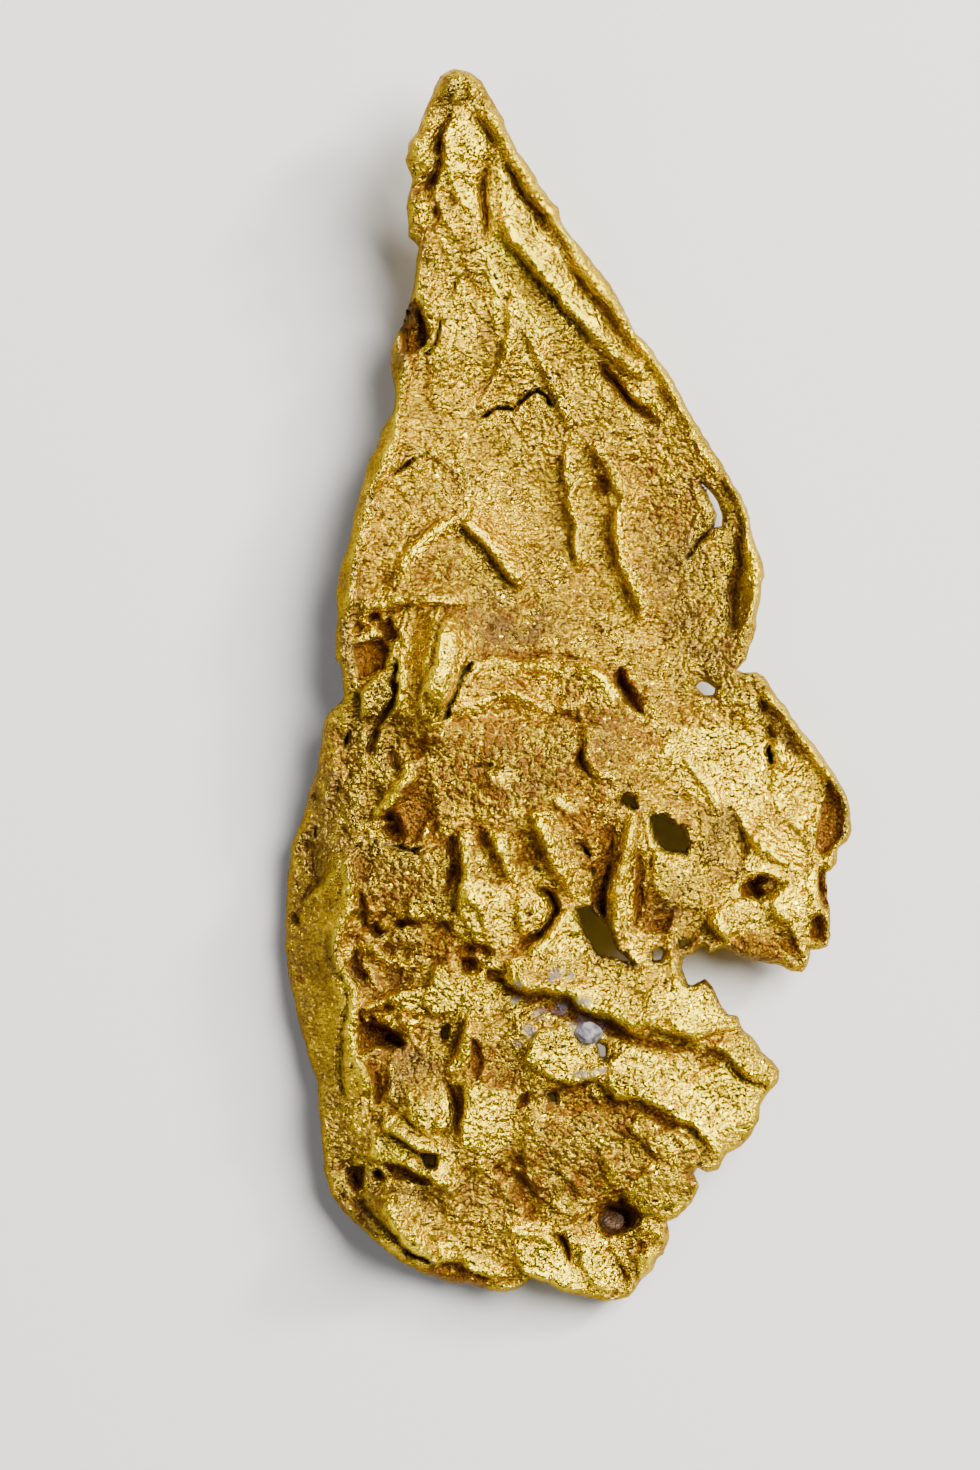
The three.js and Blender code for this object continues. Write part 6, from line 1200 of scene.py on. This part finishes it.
# Inside the rim the back is smooth enough for cells twice as wide: the middle vertex of each block of
# four cells goes, and then the ones left in the middle of its sides.
inner = {twin_of[v] for v, gap in zip(face_verts, rim_distance) if gap > RIM_CELLS * CELL}
block_middles = [v for v in inner if v[number] % (columns + 1) % 2 and v[number] // (columns + 1) % 2]
side_middles = [v for v in inner if (v[number] % (columns + 1) + v[number] // (columns + 1)) % 2]
bmesh.ops.dissolve_verts(leaf, verts=block_middles)
bmesh.ops.dissolve_verts(leaf, verts=[v for v in side_middles if v.is_valid and len(v.link_edges) == 2])
bmesh.ops.scale(leaf, vec=(MM, MM, MM), verts=leaf.verts)
for face in leaf.faces:
    face.smooth = True

leaf_data = bpy.data.meshes.new("gold_leaf_dressed")
leaf.to_mesh(leaf_data)
leaf.free()
numbers = np.zeros(len(leaf_data.vertices), np.int32)
leaf_data.attributes["number"].data.foreach_get("value", numbers)
dull_and_shade *= uneven(0.8, (0.5, 0.8, 37), (0.3, 0.3, 38))
# Round the rim the gold is painted dull and dark: painted shade on the rim's sides.
dull_and_shade[face_numbers] = np.maximum(dull_and_shade[face_numbers], 1 - smooth_step(rim_distance / RIM_RADIUS))
for name, values in (("stain", stain), ("bright", bright), ("dust", dust), ("dirt_and_shade", dirt_and_shade),
                     ("dull_and_shade", dull_and_shade), ("crack", crack_shade)):
    layer = leaf_data.attributes.new(name, "FLOAT", "POINT")
    layer.data.foreach_set("value", np.clip(values[numbers], 0, 1).astype(np.float32))
leaf_piece = add_object("gold_leaf_dressed", leaf_data)

# Native gold, crystallised from solution and never polished: a metal with a dull, sparkling grain of
# crystals, rubbed bright on its crests and rust-stained in its hollows. Its colour also holds painted
# light:
# lighter gold as painted highlight on crests and bright plates, and darker gold, dirt brown and black as
# painted shade on the rims, in grooves, at the foot of walls and in the cracks. The real crystals are a few
# hundredths of a millimetre wide, too fine to show, so they're drawn a few times as coarse.
CLEAN_GOLD = "EAC71E"
DEEP_GOLD = "B4922E"
RUBBED_AND_HIGHLIGHT_GOLD = "FCE20C"
DULL_AND_SHADED_GOLD = "6F5630"
GLANCING_GOLD = "FFE490"
FLECK_BROWN = "6A481C"
RUST = "8C5410"
DARK_RUST = "482A08"
DIRT_AND_SHADE_BROWN = "5C3A10"
CRACK_SHADE_BLACK = "120B05"
DUST_GREY = "5A5668"
GRAIN = 0.12 * MM
CRYSTAL = 0.22 * MM
MOTTLE = 0.7 * MM
FLECK_LENGTH = 0.35 * MM
FLECK_WIDTH = 0.07 * MM
CRYSTAL_HEIGHT = 0.13 * MM
GRAIN_TILT = 0.8            # how far the grains face away from the surface
GOLD_ROUGHNESS = 0.28
RUST_SHARE = 0.95           # how much of the gold the thickest rust hides, how matt that is,
RUST_MATT = 0.35            # and what it adds to the roughness
RUST_ROUGHNESS = 0.14

material, tree = new_material("native_gold_crystal_grain")
spot = add_node(tree, "ShaderNodeTexCoord", output="Object")


def speckle(size, detail, low, high, seed):
    """Noise of a real grain size, spread so that the low value gives 0 and the high gives 1."""
    moved = add_node(tree, "ShaderNodeMapping",
                     {"Vector": spot, "Rotation": (0.3 * seed, 0.7 * seed, seed)})
    specks = add_node(tree, "ShaderNodeTexNoise", {"Vector": moved, "Scale": 1 / size, "Detail": detail})
    return add_node(tree, "ShaderNodeMapRange", {"Value": specks, "From Min": low, "From Max": high})


def flecks(angle, seed):
    """Short strokes that lie one way, like scratches between crystals: 1 in a stroke, 0 outside."""
    turned = add_node(tree, "ShaderNodeMapping", {
        "Vector": spot, "Location": (seed, 0, 0), "Rotation": (0, 0, angle),
        "Scale": (1 / FLECK_LENGTH, 1 / FLECK_WIDTH, 1 / FLECK_LENGTH)})
    lines = add_node(tree, "ShaderNodeTexNoise", {"Vector": turned, "Scale": 1, "Detail": 1})
    return add_node(tree, "ShaderNodeMapRange", {"Value": lines, "From Min": 0.60, "From Max": 0.67})


stained, rubbed_and_highlit, dusty, dirty_and_shaded, in_crack_shade, dulled_and_shaded = (
    add_node(tree, "ShaderNodeAttribute", output="Fac", attribute_name=name)
    for name in ("stain", "bright", "dust", "dirt_and_shade", "crack", "dull_and_shade"))
mottle = speckle(MOTTLE, 4, 0.35, 0.65, 1)
crystals = speckle(CRYSTAL, 3, 0.35, 0.65, 2)
grain = speckle(GRAIN, 2, 0.3, 0.7, 3)
strokes = flecks(0.7, 3)
for angle, seed in ((-0.5, 11), (1.7, 17)):
    strokes = add_node(tree, "ShaderNodeMath", {0: strokes, 1: flecks(angle, seed)}, operation="MAXIMUM")

# Strokes show where the gold isn't rubbed or painted as highlight, and rust spreads from the stained places
# between crystals.
unrubbed_and_unlit = add_node(tree, "ShaderNodeMath", {0: rubbed_and_highlit, 1: -0.85, 2: 1}, operation="MULTIPLY_ADD")
strokes = add_node(tree, "ShaderNodeMath", {0: strokes, 1: unrubbed_and_unlit}, operation="MULTIPLY")
rust = add_node(tree, "ShaderNodeMath", {0: crystals, 1: 0.7, 2: stained}, operation="MULTIPLY_ADD")
rust = add_node(tree, "ShaderNodeMapRange", {"Value": rust, "From Min": 0.59, "From Max": 1.01})
rust_colour = add_node(tree, "ShaderNodeMix", {0: grain, 6: linear(DARK_RUST), 7: linear(RUST)}, 2,
                       data_type="RGBA")

# Colour, from the clean metal up: how much of each layer shows at most, where it lies, and its shade.
# The rubbed layer is partly painted highlight, the dull and dirt layers partly painted shade, and the crack
# layer wholly painted shade.
colour = linear(CLEAN_GOLD)
for share, film, shade in (
        (1, mottle, linear(DEEP_GOLD)), (0.8, rubbed_and_highlit, linear(RUBBED_AND_HIGHLIGHT_GOLD)),
        (0.85, strokes, linear(FLECK_BROWN)), (RUST_SHARE, rust, rust_colour),
        (0.85, dulled_and_shaded, linear(DULL_AND_SHADED_GOLD)), (0.85, dusty, linear(DUST_GREY)),
        (0.85, dirty_and_shaded, linear(DIRT_AND_SHADE_BROWN)), (1, in_crack_shade, linear(CRACK_SHADE_BLACK))):
    amount = add_node(tree, "ShaderNodeMath", {0: film, 1: share}, operation="MULTIPLY")
    colour = add_node(tree, "ShaderNodeMix", {0: amount, 6: colour, 7: shade}, 2, data_type="RGBA")

# Rust and the dirt with its painted shade are partly matt, and dust and the cracks' black-painted floors
# wholly so.
cover = in_crack_shade
for share, film in ((1, dusty), (0.5, dirty_and_shaded), (RUST_MATT * RUST_SHARE, rust)):
    amount = add_node(tree, "ShaderNodeMath", {0: film, 1: share}, operation="MULTIPLY")
    cover = add_node(tree, "ShaderNodeMath", {0: cover, 1: amount}, operation="MAXIMUM")
metal = add_node(tree, "ShaderNodeMath", {0: 1, 1: cover}, operation="SUBTRACT")
rough = add_node(tree, "ShaderNodeMath", {0: rust, 1: RUST_ROUGHNESS * RUST_SHARE, 2: GOLD_ROUGHNESS},
                 operation="MULTIPLY_ADD")
rough = add_node(tree, "ShaderNodeMath", {0: rubbed_and_highlit, 1: -0.11, 2: rough}, operation="MULTIPLY_ADD")

# Each crystal grain faces its own way, so the surface sparkles; rubbed gold, which also carries the painted
# highlight, is smoother.
facing = add_node(tree, "ShaderNodeTexVoronoi", {"Vector": spot, "Scale": 1 / GRAIN}, "Color")
facing = add_node(tree, "ShaderNodeVectorMath", {0: facing, 1: (0.5, 0.5, 0.5)}, operation="SUBTRACT")
steepness = add_node(tree, "ShaderNodeMath", {0: rubbed_and_highlit, 1: -0.45 * GRAIN_TILT, 2: GRAIN_TILT},
                     operation="MULTIPLY_ADD")
facing = add_node(tree, "ShaderNodeVectorMath", {0: facing, "Scale": steepness}, operation="SCALE")
surface = add_node(tree, "ShaderNodeNewGeometry", output="Normal")
facing = add_node(tree, "ShaderNodeVectorMath", {0: facing, 1: surface}, operation="ADD")
facing = add_node(tree, "ShaderNodeVectorMath", {0: facing}, operation="NORMALIZE")
height = add_node(tree, "ShaderNodeMath", {0: rubbed_and_highlit, 1: -0.5, 2: 1.1}, operation="MULTIPLY_ADD")
height = add_node(tree, "ShaderNodeMath", {0: height, 1: crystals}, operation="MULTIPLY")
bump = add_node(tree, "ShaderNodeBump", {
    "Height": height, "Normal": facing, "Strength": 0.85, "Distance": CRYSTAL_HEIGHT})
shader = add_node(tree, "ShaderNodeBsdfPrincipled", {
    "Base Color": colour, "Metallic": metal, "Roughness": rough, "Normal": bump,
    "Specular Tint": linear(GLANCING_GOLD)})
add_node(tree, "ShaderNodeOutputMaterial", {"Surface": shader})
leaf_data.materials.append(material)
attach(leaf_piece, "root")
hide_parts("gold_leaf")

# ---------------------------------------------------------------- the two grains caught in the gold
# A brown grain of iron-stained quartz and a thin grey mineral crust, both grown into the leaf's hollows.
# Each is a small speckled lump, broken and crystallised to a few flat faces: the quartz keeps a dull
# gloss on them, and the crust is powdery.

# Each grain's node, slot, finish, its two colours, roughness, the seed of its faces, and how near to its
# middle the nearest face may lie (its corners are half a unit out).
GRAINS = [
    ("brown_grain", "iron_stained_grain", "iron_stained_quartz", "241408", "5A3A18", 0.3, 11, 0.30),
    ("grey_crust", "grey_mineral", "grey_mineral_crust", "8A8688", "3E3C46", 0.7, 10, 0.26),
]
FACE_COUNT = 14
OUTER_REACH = 0.5
CORNER_WEAR = 0.55
SPECKLE = 0.3 * MM
PITTING = 0.08 * MM
PITTING_DEPTH = 0.05 * MM

for node_name, slot_name, finish, first_colour, second_colour, roughness, seed, nearest in GRAINS:
    low, high = (np.array(corner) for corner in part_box(node_name))
    lump = bmesh.new()
    bmesh.ops.create_icosphere(lump, subdivisions=5, radius=OUTER_REACH)
    random = np.random.default_rng(seed)
    faces = random.normal(size=(FACE_COUNT, 3))
    faces /= np.linalg.norm(faces, axis=1)[:, None]
    reaches = random.uniform(nearest, OUTER_REACH, FACE_COUNT)
    ways = np.array([v.co for v in lump.verts]) / OUTER_REACH
    out = np.min(reaches / np.maximum(ways @ faces.T, 0.01), axis=1)
    ways *= np.minimum(out, CORNER_WEAR)[:, None]
    ways = (ways - ways.min(axis=0)) / (ways.max(axis=0) - ways.min(axis=0))
    for v, way in zip(lump.verts, low + ways * (high - low)):
        v.co = way
    data = bpy.data.meshes.new(node_name + "_dressed")
    lump.to_mesh(data)
    lump.free()
    piece = add_object(node_name + "_dressed", data)
    material, tree = new_material(finish)
    spot = add_node(tree, "ShaderNodeTexCoord", output="Object")
    colour = add_node(tree, "ShaderNodeMix", {
        0: speckle(SPECKLE, 4, 0.35, 0.65, 5), 6: linear(first_colour), 7: linear(second_colour)}, 2,
        data_type="RGBA")
    bump = add_node(tree, "ShaderNodeBump", {
        "Height": speckle(PITTING, 2, 0.3, 0.7, 6), "Strength": 0.6, "Distance": PITTING_DEPTH})
    shader = add_node(tree, "ShaderNodeBsdfPrincipled", {
        "Base Color": colour, "Normal": bump, "Roughness": roughness})
    add_node(tree, "ShaderNodeOutputMaterial", {"Surface": shader})
    data.materials.append(material)
    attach(piece, "root")
    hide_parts(node_name)
